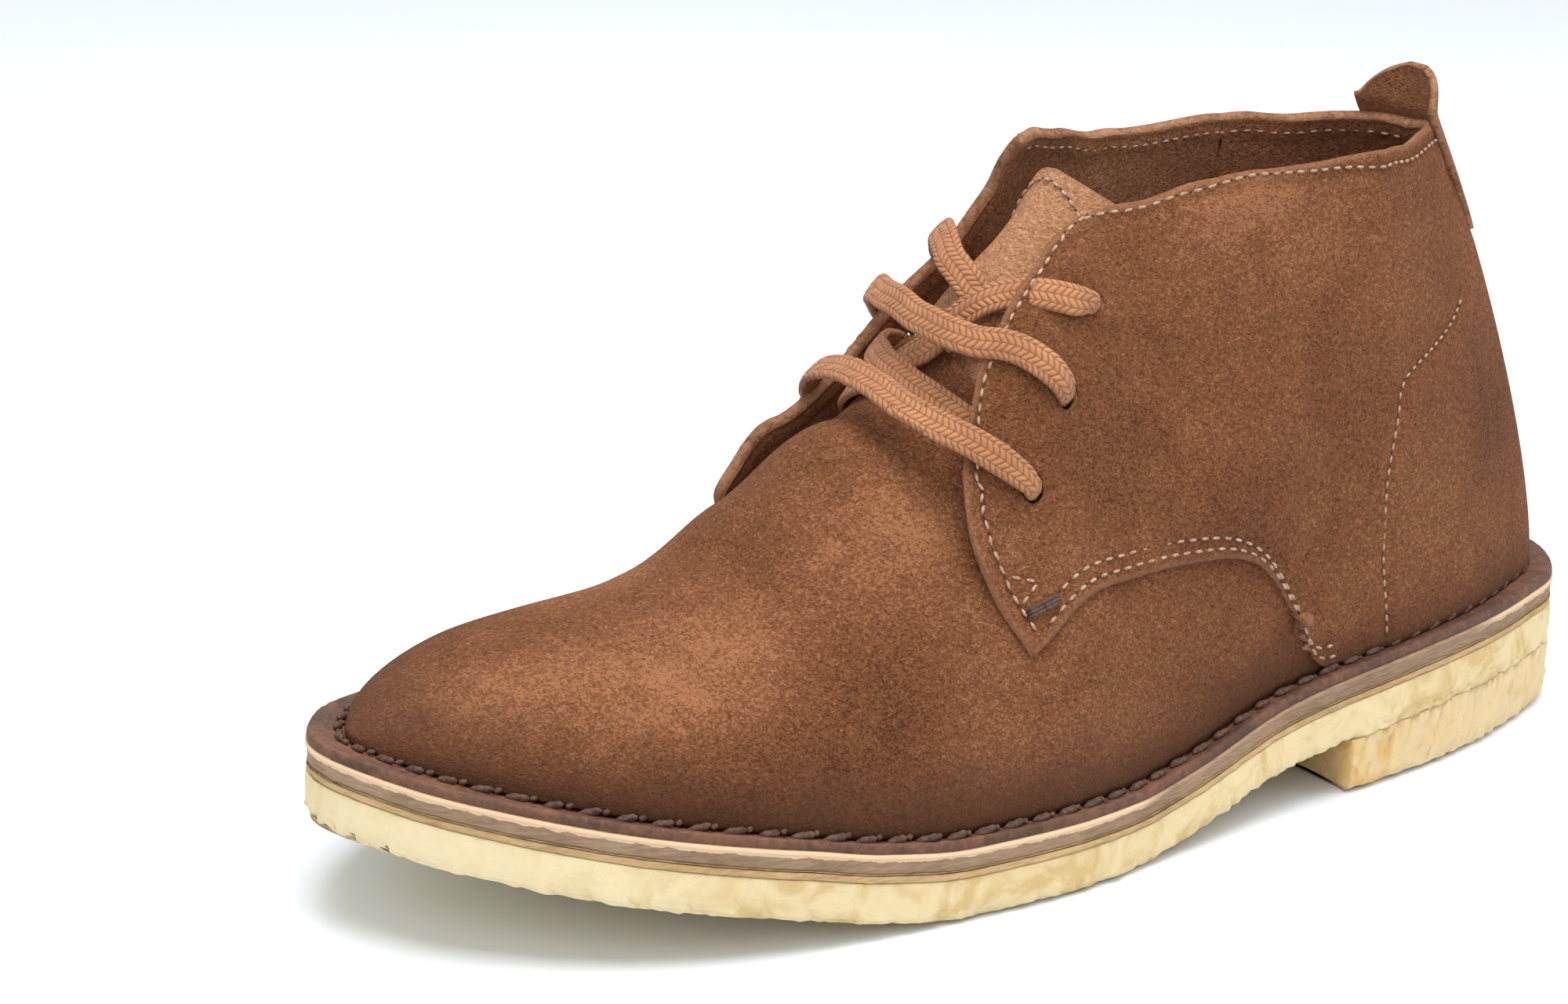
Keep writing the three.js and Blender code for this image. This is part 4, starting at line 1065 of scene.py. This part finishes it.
def make_vamp():
    def place(u, v):
        order, t = vamp_place(u, v)
        points, outward = skin(order, t, 0, False)
        return points + relief(points, outward, VAMP_FOLDS)

    def marks(u, v, points):
        return {"edge": np.full_like(u, 30), "foot": foot_marks(points), "scuff": scuff_marks(points)}
    bm = grid_mesh(170, 150, place, marks)
    face_outwards(bm, Vector((0.02, 0, 0.03)))
    piece = finish_mesh(bm, "vamp", [suede_upper, lining, cut_edge], ["upper"])
    thicken(piece, WALL, 1, 2)


# Quarters
def quarter_curves(side):
    """Collar, facing, arch and back seam of one quarter, each running one way from 0 to 1."""
    if side > 0:
        top = share_where(np.array([0.0]), 1, lambda p: p[:, 2] > COLLAR_HEIGHT)[0]
        collar = [(0, top)] + LATERAL_COLLAR
        facing = LATERAL_FACING
        arch = LATERAL_ARCH
    else:
        height = column(MEDIAL_COLLAR, 1)
        width = column(MEDIAL_THROAT, 1)

        def above_collar(p):
            return p[:, 2] > height((p[:, 0] - HEEL_X) / SOLE_LENGTH) * COLLAR_HEIGHT

        def past_throat(p):
            at = (p[:, 0] - HEEL_X) / SOLE_LENGTH
            centre = np.interp(p[:, 0], last["x"][PLANES:], last["y"][PLANES:])
            return centre - p[:, 1] < width(at) * BALL_HALF_WIDTH
        spots = np.array([0, 0.7, 1.4, 2, 2.6, 3.2, 3.7, 4.1, 4.42])
        collar = list(zip(spots, share_where(spots, -1, above_collar)))
        spots = np.array([4.55, 4.8, 5.1, 5.5, 6, 6.5, 7, 7.4])
        facing = [collar[-1]] + list(zip(spots, share_where(spots, -1, past_throat)))
        arch = []
        for at, up in MEDIAL_ARCH:
            x = HEEL_X + at * SOLE_LENGTH
            order = np.interp(x, last["x"][PLANES:], orders[PLANES:])
            share = share_where(np.array([order]), -1, lambda p: p[:, 2] > up * COLLAR_HEIGHT)[0]
            arch.append((order, max(share, 0.004)))
        facing = facing + [(7.62, 0.5), arch[0]]
        arch[-1] = (arch[-1][0], 0.004)
    bottom = [(0, 0), (arch[-1][0] * 0.5, 0)] + arch[::-1]
    seam = [(0, 0), (0, collar[0][1])]
    return {"collar": traced(collar, side), "facing": traced(facing[::-1], side),
            "bottom": traced(bottom, side), "seam": traced(seam, side)}


def patch(curves, u, v):
    """Section and share inside four curves. u: back seam to front, v: bottom to collar."""
    low, high = curves["bottom"](u), curves["collar"](u)
    back, front = curves["seam"](v), curves["facing"](v)
    corners = [curves[name](s) for name in ("bottom", "collar") for s in (0, 1)]
    result = []
    for k in (0, 1):
        ruled = (1 - v) * low[k] + v * high[k] + (1 - u) * back[k] + u * front[k]
        plane = ((1 - u) * (1 - v) * corners[0][k] + u * (1 - v) * corners[1][k]
                 + (1 - u) * v * corners[2][k] + u * v * corners[3][k])
        result.append(ruled - plane)
    return result[0], np.clip(result[1], 0, 0.99)


def edge_line(curves, side):
    """Close points along the cut edges: collar, facing and arch."""
    lines = []
    for name in ("collar", "facing", "bottom"):
        order, share = curves[name](np.linspace(0, 1, 260))
        if name == "bottom":
            order, share = order[share > 0.003], share[share > 0.003]
        points, _ = skin(order, side * (1 - share), QUARTER_OUT)
        lines.append(points)
    return np.concatenate(lines)


def make_quarter(name, side, curves):
    line = edge_line(curves, side)
    counter, _ = skin(*along_rows(COUNTER_STITCH, side), QUARTER_OUT)
    holes = [spot_on_skin(order, side * (1 - share), QUARTER_OUT) for order, share in EYELETS]

    def place(u, v):
        order, share = patch(curves, u, v)
        t = side * (1 - share)
        points, outward = skin(order, t, QUARTER_OUT)
        points = points + relief(points, outward, QUARTER_FOLDS)
        edge = distance_from(points, line)
        groove = -0.35 * np.exp(-((edge - STITCH_INSET) / 1.1) ** 2)
        skived = -0.3 * np.exp(-(edge / 0.7) ** 2)
        seam = distance_from(points, counter)
        stiffener = 0.5 * smoothstep(seam, 0.5, 3) * behind_counter(order, share)
        stitched = -0.3 * np.exp(-(seam / 1.2) ** 2)
        wave = 0.07 * np.sin(edge * 0.9 + points[:, 0] * 0.35) * np.exp(-(edge / 7) ** 2)
        points = points + outward * (groove + skived + stiffener + stitched + wave)[:, None]
        return corner_raised(points)

    def marks(u, v, points):
        # The quarter's foot mark is raised by 5 mm, so the painted shade near the welt reaches less far
        # up it.
        return {"edge": distance_from(points, line), "foot": foot_marks(points) + 5,
                "scuff": scuff_marks(points)}
    bm = grid_mesh(190, 110, place, marks)
    face_outwards(bm, Vector((-0.07, 0, 0.07)))
    for spot in holes:
        punch(bm, Vector(spot) * MM, EYELET_BORE / 2 * MM)
    piece = finish_mesh(bm, name, [suede_upper, lining, cut_edge], ["upper"])
    thicken(piece, QUARTER_WALL, 1, 2)


def punch(bm, centre, radius):
    """A round punched hole through a sheet."""
    doomed = [face for face in bm.faces if (face.calc_center_median() - centre).length < radius]
    rim = {vert for face in doomed for vert in face.verts
           if any(other not in doomed for other in vert.link_faces)}
    bmesh.ops.delete(bm, geom=doomed, context="FACES")
    for vert in rim:
        if vert.is_valid:
            away = vert.co - centre
            vert.co = centre + away.normalized() * radius


# The counter's stitch as the section where it passes each share
COUNTER_LIMIT = ([0, 0.15, 0.25, 0.3, 0.34, 0.43, 0.5], [2.15, 2.28, 2.26, 2.0, 1.5, 0.8, 0.4])


def behind_counter(order, share):
    """One inside the stiffened heel counter, zero in front of and above its stitch."""
    limit = np.interp(share, *COUNTER_LIMIT)
    return smoothstep(limit - order, -0.05, 0.1)


def along_rows(rows, side, count=160):
    """Even sections and t values along hand-placed rows."""
    order, share = traced(rows, side)(np.linspace(0, 1, count))
    return order, side * (1 - share)


# Stitches
def stitch_row(bm, order, t, lift, pitch, size, hole, flared=True):
    """Dashes of thread along a line on the skin, with a dark disc of painted shade for the needle hole
    at each end.
    """
    points, outward = skin(order, t, lift, flared)
    if flared:
        points = corner_raised(points)
    length = lengths_along(points)
    count = max(2, round(length[-1] / pitch))
    for k in range(count):
        middle = (k + 0.5) / count * length[-1] + rng.uniform(-0.12, 0.12)
        spot, ahead, behind = (Vector(at_length(middle + step, length, points))
                               for step in (0, 0.6, -0.6))
        normal = Vector(at_length(middle, length, outward)).normalized()
        forward = (ahead - behind).normalized()
        dash(bm, spot, forward, normal, size, 0)
        if hole:
            # A dark disc of painted shade stands in the needle hole.
            end = spot + forward * pitch * 0.5
            dash(bm, end - normal * 0.1, forward, normal, hole, 1)


def dash(bm, spot, forward, normal, size, slot):
    side = normal.cross(forward).normalized()
    normal = forward.cross(side)
    turn = Matrix((forward * size[0], side * size[1], normal * size[2])).transposed().to_4x4()
    place = Matrix.Translation(spot * MM) @ turn @ Matrix.Scale(MM, 4)
    made = bmesh.ops.create_icosphere(bm, subdivisions=1, radius=1, matrix=place)
    for face in {face for vert in made["verts"] for face in vert.link_faces}:
        face.material_index = slot


rng = random.Random(7)
THREAD = (1.05, 0.36, 0.34)
# Size of the dark disc of painted shade at each needle hole
HOLE = (0.42, 0.27, 0.1)
PITCH = 3.0


def inset_line(curves, side, name, inset, start, end):
    """A line inside the quarter, a set distance from one of its edges."""
    s = np.linspace(start, end, 240)
    line = {"collar": lambda d: (s, 1 - d), "facing": lambda d: (1 - d, s),
            "bottom": lambda d: (s, d)}[name]
    near = np.zeros_like(s)
    step = 0.004
    order, share = patch(curves, *line(near))
    edge, _ = skin(order, side * (1 - share), QUARTER_OUT)
    order, share = patch(curves, *line(near + step))
    beside, _ = skin(order, side * (1 - share), QUARTER_OUT)
    depth = inset * step / np.maximum(np.linalg.norm(beside - edge, axis=1), 1e-3)
    order, share = patch(curves, *line(depth))
    return order, side * (1 - share)


# Rows of a quarter: edge, distance from it, where along it the row starts and ends
QUARTER_ROWS = [("collar", STITCH_INSET, 0.02, 0.97), ("facing", STITCH_INSET, 0.03, 0.985)]
ARCH_ROWS = (2.4, 5.2)
ARCH_START = {1: 0.5, -1: 0.45}
CORNER_BOX = {
    1: [(6.46, 0.428), (6.2, 0.385), (6.42, 0.372)],
    -1: [(7.42, 0.43), (7.12, 0.4), (7.3, 0.38)],
}
SHORT_PITCH = 2.6
COUNTER_THREAD = (0.85, 0.3, 0.28)


def make_stitches(curves_by_side):
    bm = bmesh.new()
    lift = QUARTER_OUT + 0.05
    for side, curves in curves_by_side.items():
        for row in QUARTER_ROWS:
            stitch_row(bm, *inset_line(curves, side, *row), lift, PITCH, THREAD, HOLE)
        stitch_row(bm, *inset_line(curves, side, *QUARTER_ROWS[0]),
                   QUARTER_OUT - QUARTER_WALL - 0.25, PITCH, THREAD, None)
        for inset in ARCH_ROWS:
            row = inset_line(curves, side, "bottom", inset, ARCH_START[side], 0.97)
            stitch_row(bm, *row, lift, PITCH, THREAD, HOLE)
        stitch_row(bm, *along_rows(COUNTER_STITCH, side), lift - 0.1, SHORT_PITCH, COUNTER_THREAD, HOLE)
        for start, end in zip(CORNER_BOX[side][:-1], CORNER_BOX[side][1:]):
            stitch_row(bm, *along_rows([start, end], side, 30), lift, SHORT_PITCH, THREAD, HOLE)
    finish_mesh(bm, "quarter_stitching", [pale_thread, needle_hole_shade], ["upper"])


def make_bar_tack():
    """The thick knotted bar at the lateral quarter's lower corner."""
    bm = bmesh.new()
    for row in range(3):
        order, t = along_rows([(6.05, 0.332 + row * 0.006), (6.36, 0.346 + row * 0.006)], 1, 20)
        stitch_row(bm, order, t, QUARTER_OUT + 0.3, 5.5, (2.7, 0.5, 0.55), None)
    finish_mesh(bm, "corner_bar_tack", [brown_thread], ["upper"])


def make_welt_thread():
    """Thick loops of the welt seam, one after another round the upper's foot."""
    bm = bmesh.new()
    pitch = 6.4
    closed = np.vstack([feather_loop, feather_loop[:1]])
    length = lengths_along(closed)
    count = round(length[-1] / pitch)
    for k in range(count):
        middle = k / count * length[-1]
        spot, ahead = (at_length(walked % length[-1], length, closed) for walked in (middle, middle + 1))
        along = Vector((*(ahead - spot), 0)).normalized()
        outward = Vector((along.y, -along.x, 0))
        base = Vector((*spot, float(feather_height(spot[0])))) + outward * 1.25
        base.z += 0.25
        tilt = (along + Vector((0, 0, 0.16 + rng.uniform(-0.12, 0.12))) + outward * 0.1).normalized()
        size = (2.5 + rng.uniform(-0.35, 0.35), 0.72, 0.68)
        dash(bm, base, tilt, (outward * 0.5 + Vector((0, 0, 1))).normalized(), size, 0)
        knot = base + along * 2.9 - outward * 0.4
        dash(bm, knot, (along - outward * 1.2).normalized(), Vector((0, 0, 1)), (0.9, 0.55, 0.5), 0)
    bmesh.ops.subdivide_edges(bm, edges=bm.edges, cuts=1, smooth=0.6, use_grid_fill=True)
    finish_mesh(bm, "welt_seam", [brown_thread], ["welt"])


# Tongue
def make_tongue():
    edge_share = column(TONGUE_LINE, 1)
    first, end = TONGUE_LINE[0][0], TONGUE_LINE[-1][0]
    top = -WALL - SEAM

    def curl(u, v):
        return 1.6 * np.exp(-(v / 0.25) ** 2) * (1 - (2 * u - 1) ** 2)

    def spot(u, v):
        order = first + (end - first) * v ** 1.5
        across = 2 * u - 1
        order = order - np.where(across > 0, 0.4, 0.1) * across ** 2 * (1 - v) ** 3
        share = 1 + (edge_share(order) - 1) * np.abs(across)
        return order, np.sign(across) * (1 - share)

    def place(u, v):
        order, t = spot(u, v)
        points, outward = skin(order, t, top, False)
        ripple = 0.35 * np.sin(7 * u + 9 * v) * (1 - v)
        return points + outward * (curl(u, v) + ripple)[:, None]

    def marks(u, v, points):
        rim = np.concatenate([place(np.linspace(0, 1, 90), np.zeros(90)),
                              place(np.zeros(90), np.linspace(0, 1, 90)),
                              place(np.ones(90), np.linspace(0, 1, 90))])
        return {"edge": distance_from(points, rim), "foot": np.full_like(u, 60), "scuff": 0 * u + 0.12}
    bm = grid_mesh(64, 90, place, marks)
    face_outwards(bm, Vector((-0.04, 0, 0.02)))
    piece = finish_mesh(bm, "tongue_leather", [suede_tongue, lining, cut_edge],
                        ["tongue"])
    thicken(piece, TONGUE - 0.2, 1, 2)
    stitches = bmesh.new()
    u = np.linspace(0.1, 0.9, 80)
    v = 0.13 + 0.16 * np.abs(2 * u - 1) ** 3
    order, t = spot(u, v)
    stitch_row(stitches, order, t, top + curl(u, v) + 0.15, 2.8, THREAD, HOLE, False)
    finish_mesh(stitches, "tongue_stitching", [pale_thread, needle_hole_shade], ["tongue"])


# Pull tab: thinner than its solid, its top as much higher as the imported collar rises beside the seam
TAB_SKIVED = 0.4
TAB_LIFT = 2.6
SEAM_SOFTENED = 0.04


def make_pull_tab():
    inner = QUARTER_OUT + 0.1
    heights = np.linspace(0, 1, 200)
    seam_points, _ = skin(0 * heights, 1 - heights, 0, False)
    heel_middle = np.array([last["x"][0], last["y"][0], 0])
    thickness = TAB_THICKNESS - TAB_SKIVED
    top = COLLAR_HEIGHT + TAB_RISE + TAB_LIFT

    def turned(vectors, angle):
        cos, sin = np.cos(angle), np.sin(angle)
        x, y, z = vectors.T
        return np.stack([x * cos - y * sin, x * sin + y * cos, z], -1)

    def spot(u, v):
        height = top - TAB_LENGTH * v ** 1.3
        share = np.interp(np.minimum(height, COLLAR_HEIGHT), seam_points[:, 2], heights)
        rise = np.maximum(0, height - COLLAR_HEIGHT)
        x = np.interp(share, heights, seam_points[:, 0])
        radius = last["x"][0] - x
        corner = np.maximum(0, 1 - (top - height) / (TAB_WIDTH / 2))
        half = TAB_WIDTH / 2 * np.sqrt(np.maximum(0.04, 1 - corner ** 2.1))
        return (2 * u - 1) * np.arcsin(half / radius), share, rise

    def place(u, v):
        angle, share, rise = spot(u, v)
        soft = np.hypot(angle, SEAM_SOFTENED)
        weight = smoothstep(angle, -1.5 * SEAM_SOFTENED, 1.5 * SEAM_SOFTENED)
        points, outward = 0, 0
        for side, part in ((1, weight), (-1, 1 - weight)):
            order = np.degrees(soft) / SECTIONS[1][0]
            there, facing = skin(order, side * (1 - share), inner + thickness, False)
            turn = side * soft - angle
            there = turned(there - heel_middle, turn) + heel_middle
            points = points + part[:, None] * there
            outward = outward + part[:, None] * turned(facing, turn)
        points[:, 2] += rise - smoothstep(rise, 0, 5) * (points[:, 2] - COLLAR_HEIGHT)
        edge = np.minimum(np.minimum(u, 1 - u) * TAB_WIDTH, np.minimum(v, 1 - v) * TAB_LENGTH * 1.2)
        pillow = -0.5 * np.exp(-(edge / 1.3) ** 2) - 0.3 * np.exp(-((edge - 3) / 1) ** 2)
        return points + outward * pillow[:, None]

    def marks(u, v, points):
        edge = np.minimum(np.minimum(u, 1 - u) * TAB_WIDTH, np.minimum(v, 1 - v) * TAB_LENGTH)
        return {"edge": edge, "foot": 0 * u + 60, "scuff": 0 * u}
    bm = grid_mesh(48, 64, place, marks)
    face_outwards(bm, Vector((-0.07, 0, 0.1)))
    body = [vert for vert in bm.verts if not vert.is_boundary]
    for verts in [body] * 8 + [bm.verts] * 5:
        bmesh.ops.smooth_vert(bm, verts=verts, factor=0.5,
                              use_axis_x=True, use_axis_y=True, use_axis_z=True)
    piece = finish_mesh(bm, "pull_tab_strip", [suede_tab, suede_tab, cut_edge],
                        ["pull_tab"])
    thicken(piece, thickness, 1, 2)


# Lace: one flat braid. Rows: section, t, height over the unflared skin in shares of the flare, width
LACE_ROUTE = [
    (4.62, 0.43, 0.2, 1), (4.74, 0.37, 0.28, 0.8), (4.82, 0.341, 0.5, 0.62), (4.86, 0.335, 0.86, 0.66),
    (4.96, 0.322, 0.93, 0.9), (5.08, 0.305, 0.99, 1), (5.3, 0.268, 1.0, 1), (5.6, 0.205, 0.78, 1),
    (5.9, 0.14, 0.5, 1), (6.18, 0.07, 0.31, 1), (6.4, -0.03, 0.27, 1), (6.5, -0.14, 0.27, 1),
    (6.42, -0.28, 0.26, 1), (6.22, -0.4, 0.24, 0.9), (6.08, -0.47, 0.28, 0.7),
    (6.01, -0.497, 0.46, 0.6), (6.02, -0.495, 0.66, 0.66), (6.1, -0.47, 0.74, 0.9),
    (6.24, -0.43, 0.86, 1), (6.4, -0.36, 1.02, 1), (6.55, -0.25, 1.05, 1), (6.66, -0.12, 0.99, 1),
    (6.74, 0.04, 0.97, 1), (6.71, 0.17, 1.02, 1), (6.53, 0.273, 1.05, 1), (6.35, 0.352, 1.05, 1),
    (6.22, 0.407, 0.92, 1), (6.08, 0.465, 0.76, 0.85), (6.02, 0.492, 0.62, 0.62),
    (6.01, 0.497, 0.3, 0.6), (6.1, 0.44, 0.12, 0.8), (6.24, 0.32, 0.27, 1), (6.36, 0.21, 0.28, 1),
    (6.44, 0.09, 0.34, 1), (6.4, -0.05, 0.42, 1), (6.2, -0.2, 0.42, 1), (5.9, -0.33, 0.3, 1),
    (5.62, -0.4, 0.24, 0.8), (5.5, -0.42, 0.45, 0.62), (5.48, -0.418, 0.76, 0.66),
    (5.55, -0.38, 0.86, 0.9), (5.66, -0.335, 0.95, 1), (5.84, -0.24, 1.03, 1), (6.0, -0.1, 1.0, 1),
    (6.08, 0.06, 1.02, 1), (6.03, 0.156, 1.06, 1), (5.93, 0.244, 1.1, 1), (5.76, 0.302, 1.08, 1),
    (5.6, 0.365, 1.0, 1), (5.52, 0.4, 0.9, 0.85), (5.49, 0.415, 0.7, 0.62), (5.49, 0.42, 0.35, 0.6),
    (5.56, 0.37, 0.2, 0.8), (5.68, 0.24, 0.28, 1), (5.75, 0.13, 0.36, 1), (5.68, 0.0, 0.56, 1),
    (5.5, -0.08, 0.7, 1), (5.25, -0.18, 0.8, 1), (5.06, -0.27, 0.78, 1), (4.93, -0.315, 0.7, 0.85),
    (4.85, -0.338, 0.6, 0.62), (4.83, -0.345, 0.25, 0.6), (4.72, -0.39, 0.12, 0.8),
    (4.6, -0.44, 0.06, 1),
]


LACE_STEPS = 1100
LACE_AROUND = 22
LACE_SMOOTHING = 47
RIB = 0.07
RIB_PITCH = 1.7
SHARP_TURN = 0.25


def lace_path(steps):
    """Even points along the lace with their outward lean and width."""
    rows = np.array(LACE_ROUTE)
    knots = np.arange(len(rows))
    walk = np.linspace(0, len(rows) - 1, 3000)
    fine = [np.interp(walk, knots, rows[:, k]) for k in range(4)]
    window = np.hanning(LACE_SMOOTHING)
    window /= window.sum()
    pad = len(window) // 2
    fine = [np.convolve(np.pad(values, pad, mode="edge"), window, mode="valid") for values in fine]
    order, t, stand, width = fine
    lift = LACE_THICKNESS / 2 - WALL + stand * FLARE
    points, outward = skin(order, t, lift, False)
    length = lengths_along(points)
    even = np.linspace(0, length[-1], steps + 1)
    points, outward = at_length(even, length, points), at_length(even, length, outward)
    return points, outward, np.interp(even, length, width), even


def make_lace():
    points, outward, width, even = lace_path(LACE_STEPS)
    tangents = np.gradient(points, axis=0)
    frames = []
    lean = Vector(outward[0])
    for point, tangent, hint in zip(points, tangents, outward):
        tangent = Vector(tangent).normalized()
        hint = Vector(hint)
        hint = hint - tangent * hint.dot(tangent)
        lean = lean - tangent * lean.dot(tangent)
        if hint.length > SHARP_TURN:
            if hint.dot(lean) < 0:
                hint = -hint
            lean = lean.normalized().lerp(hint.normalized(), 0.12)
        lean.normalize()
        frames.append((Vector(point), tangent.cross(lean).normalized(), lean.copy()))

    def place(u, v):
        result = []
        for around_share, along_share in zip(u, v):
            i = round(along_share * LACE_STEPS)
            centre, sideways, up = frames[i]
            angle = 2 * math.pi * around_share
            squeeze = width[i]
            wide = LACE_WIDTH / 2 * squeeze
            thick = LACE_THICKNESS / 2 * (1 + 0.7 * (1 - squeeze))
            c, s = math.cos(angle), math.sin(angle)
            across = math.copysign(abs(c) ** 0.8, c)
            rib = RIB * math.sin(even[i] / RIB_PITCH * 2 * math.pi + abs(across) * 3)
            upward = math.copysign(abs(s) ** 0.75, s)
            result.append(centre + sideways * (wide * across) + up * (thick + rib) * upward)
        return np.array(result)
    bm = bmesh.new()
    bmesh.ops.create_grid(bm, x_segments=LACE_AROUND, y_segments=LACE_STEPS, size=0.5)
    flat = np.array([vert.co for vert in bm.verts]) + 0.5
    uv = bm.loops.layers.uv.new("lay")
    for face in bm.faces:
        for loop in face.loops:
            u, v = loop.vert.co.x + 0.5, loop.vert.co.y + 0.5
            loop[uv].uv = (v * even[-1], 0.5 - 0.5 * math.cos(2 * math.pi * u))
    for vert, point in zip(bm.verts, place(flat[:, 0], flat[:, 1])):
        vert.co = Vector(point) * MM
    bmesh.ops.remove_doubles(bm, verts=bm.verts, dist=MERGE * MM)
    bmesh.ops.holes_fill(bm, edges=[edge for edge in bm.edges if edge.is_boundary], sides=0)
    bmesh.ops.recalc_face_normals(bm, faces=bm.faces)
    finish_mesh(bm, "lace_flat_braid", [lace_braid],
                ["lace_lower_bar", "lace_middle_bar", "lace_crossing"])
    return even[-1]


lace_length = make_lace()
make_vamp()
curves = {1: quarter_curves(1), -1: quarter_curves(-1)}
make_quarter("quarter_lateral", 1, curves[1])
make_quarter("quarter_medial", -1, curves[-1])
make_stitches(curves)
make_bar_tack()
make_welt_thread()
make_tongue()
make_pull_tab()


# Floor and light
def make_stage():
    bm = bmesh.new()
    bmesh.ops.create_grid(bm, x_segments=8, y_segments=8, size=6)
    mat, tree = start_material("studio_floor")
    tone = tree.mix(tree.noise(tree.place(), 3, 2), (0.77, 0.815, 0.86, 1), (0.81, 0.85, 0.89, 1))
    close_material(tree, tone, 0.6)
    floor = mesh_object(bm, "floor", [mat])
    floor.location.z = -0.0004


def soft_box(name, place, target, size, power):
    data = bpy.data.lights.new(name, "AREA")
    data.shape = "RECTANGLE"
    data.size, data.size_y = size
    data.energy = power
    light = into_scene(name, data)
    light.location = place
    light.rotation_euler = (Vector(target) - Vector(place)).to_track_quat("-Z", "Y").to_euler()


def light_studio():
    world = bpy.data.worlds.new("studio")
    world.use_nodes = True
    sky = world.node_tree.nodes["Background"].inputs
    sky[0].default_value, sky[1].default_value = (0.97, 0.985, 1, 1), 0.74
    bpy.context.scene.world = world
    soft_box("overhead", (0.1, 0.1, 1.3), (0, 0, 0.05), (0.9, 0.9), 18)
    soft_box("front", (0.9, 0.9, 0.9), (0, 0, 0.06), (0.9, 0.9), 2.6)
    soft_box("rear", (-0.9, 0.5, 0.8), (0, 0, 0.06), (0.7, 0.7), 3)
    bpy.context.scene.view_settings.view_transform = "Standard"


make_stage()
light_studio()
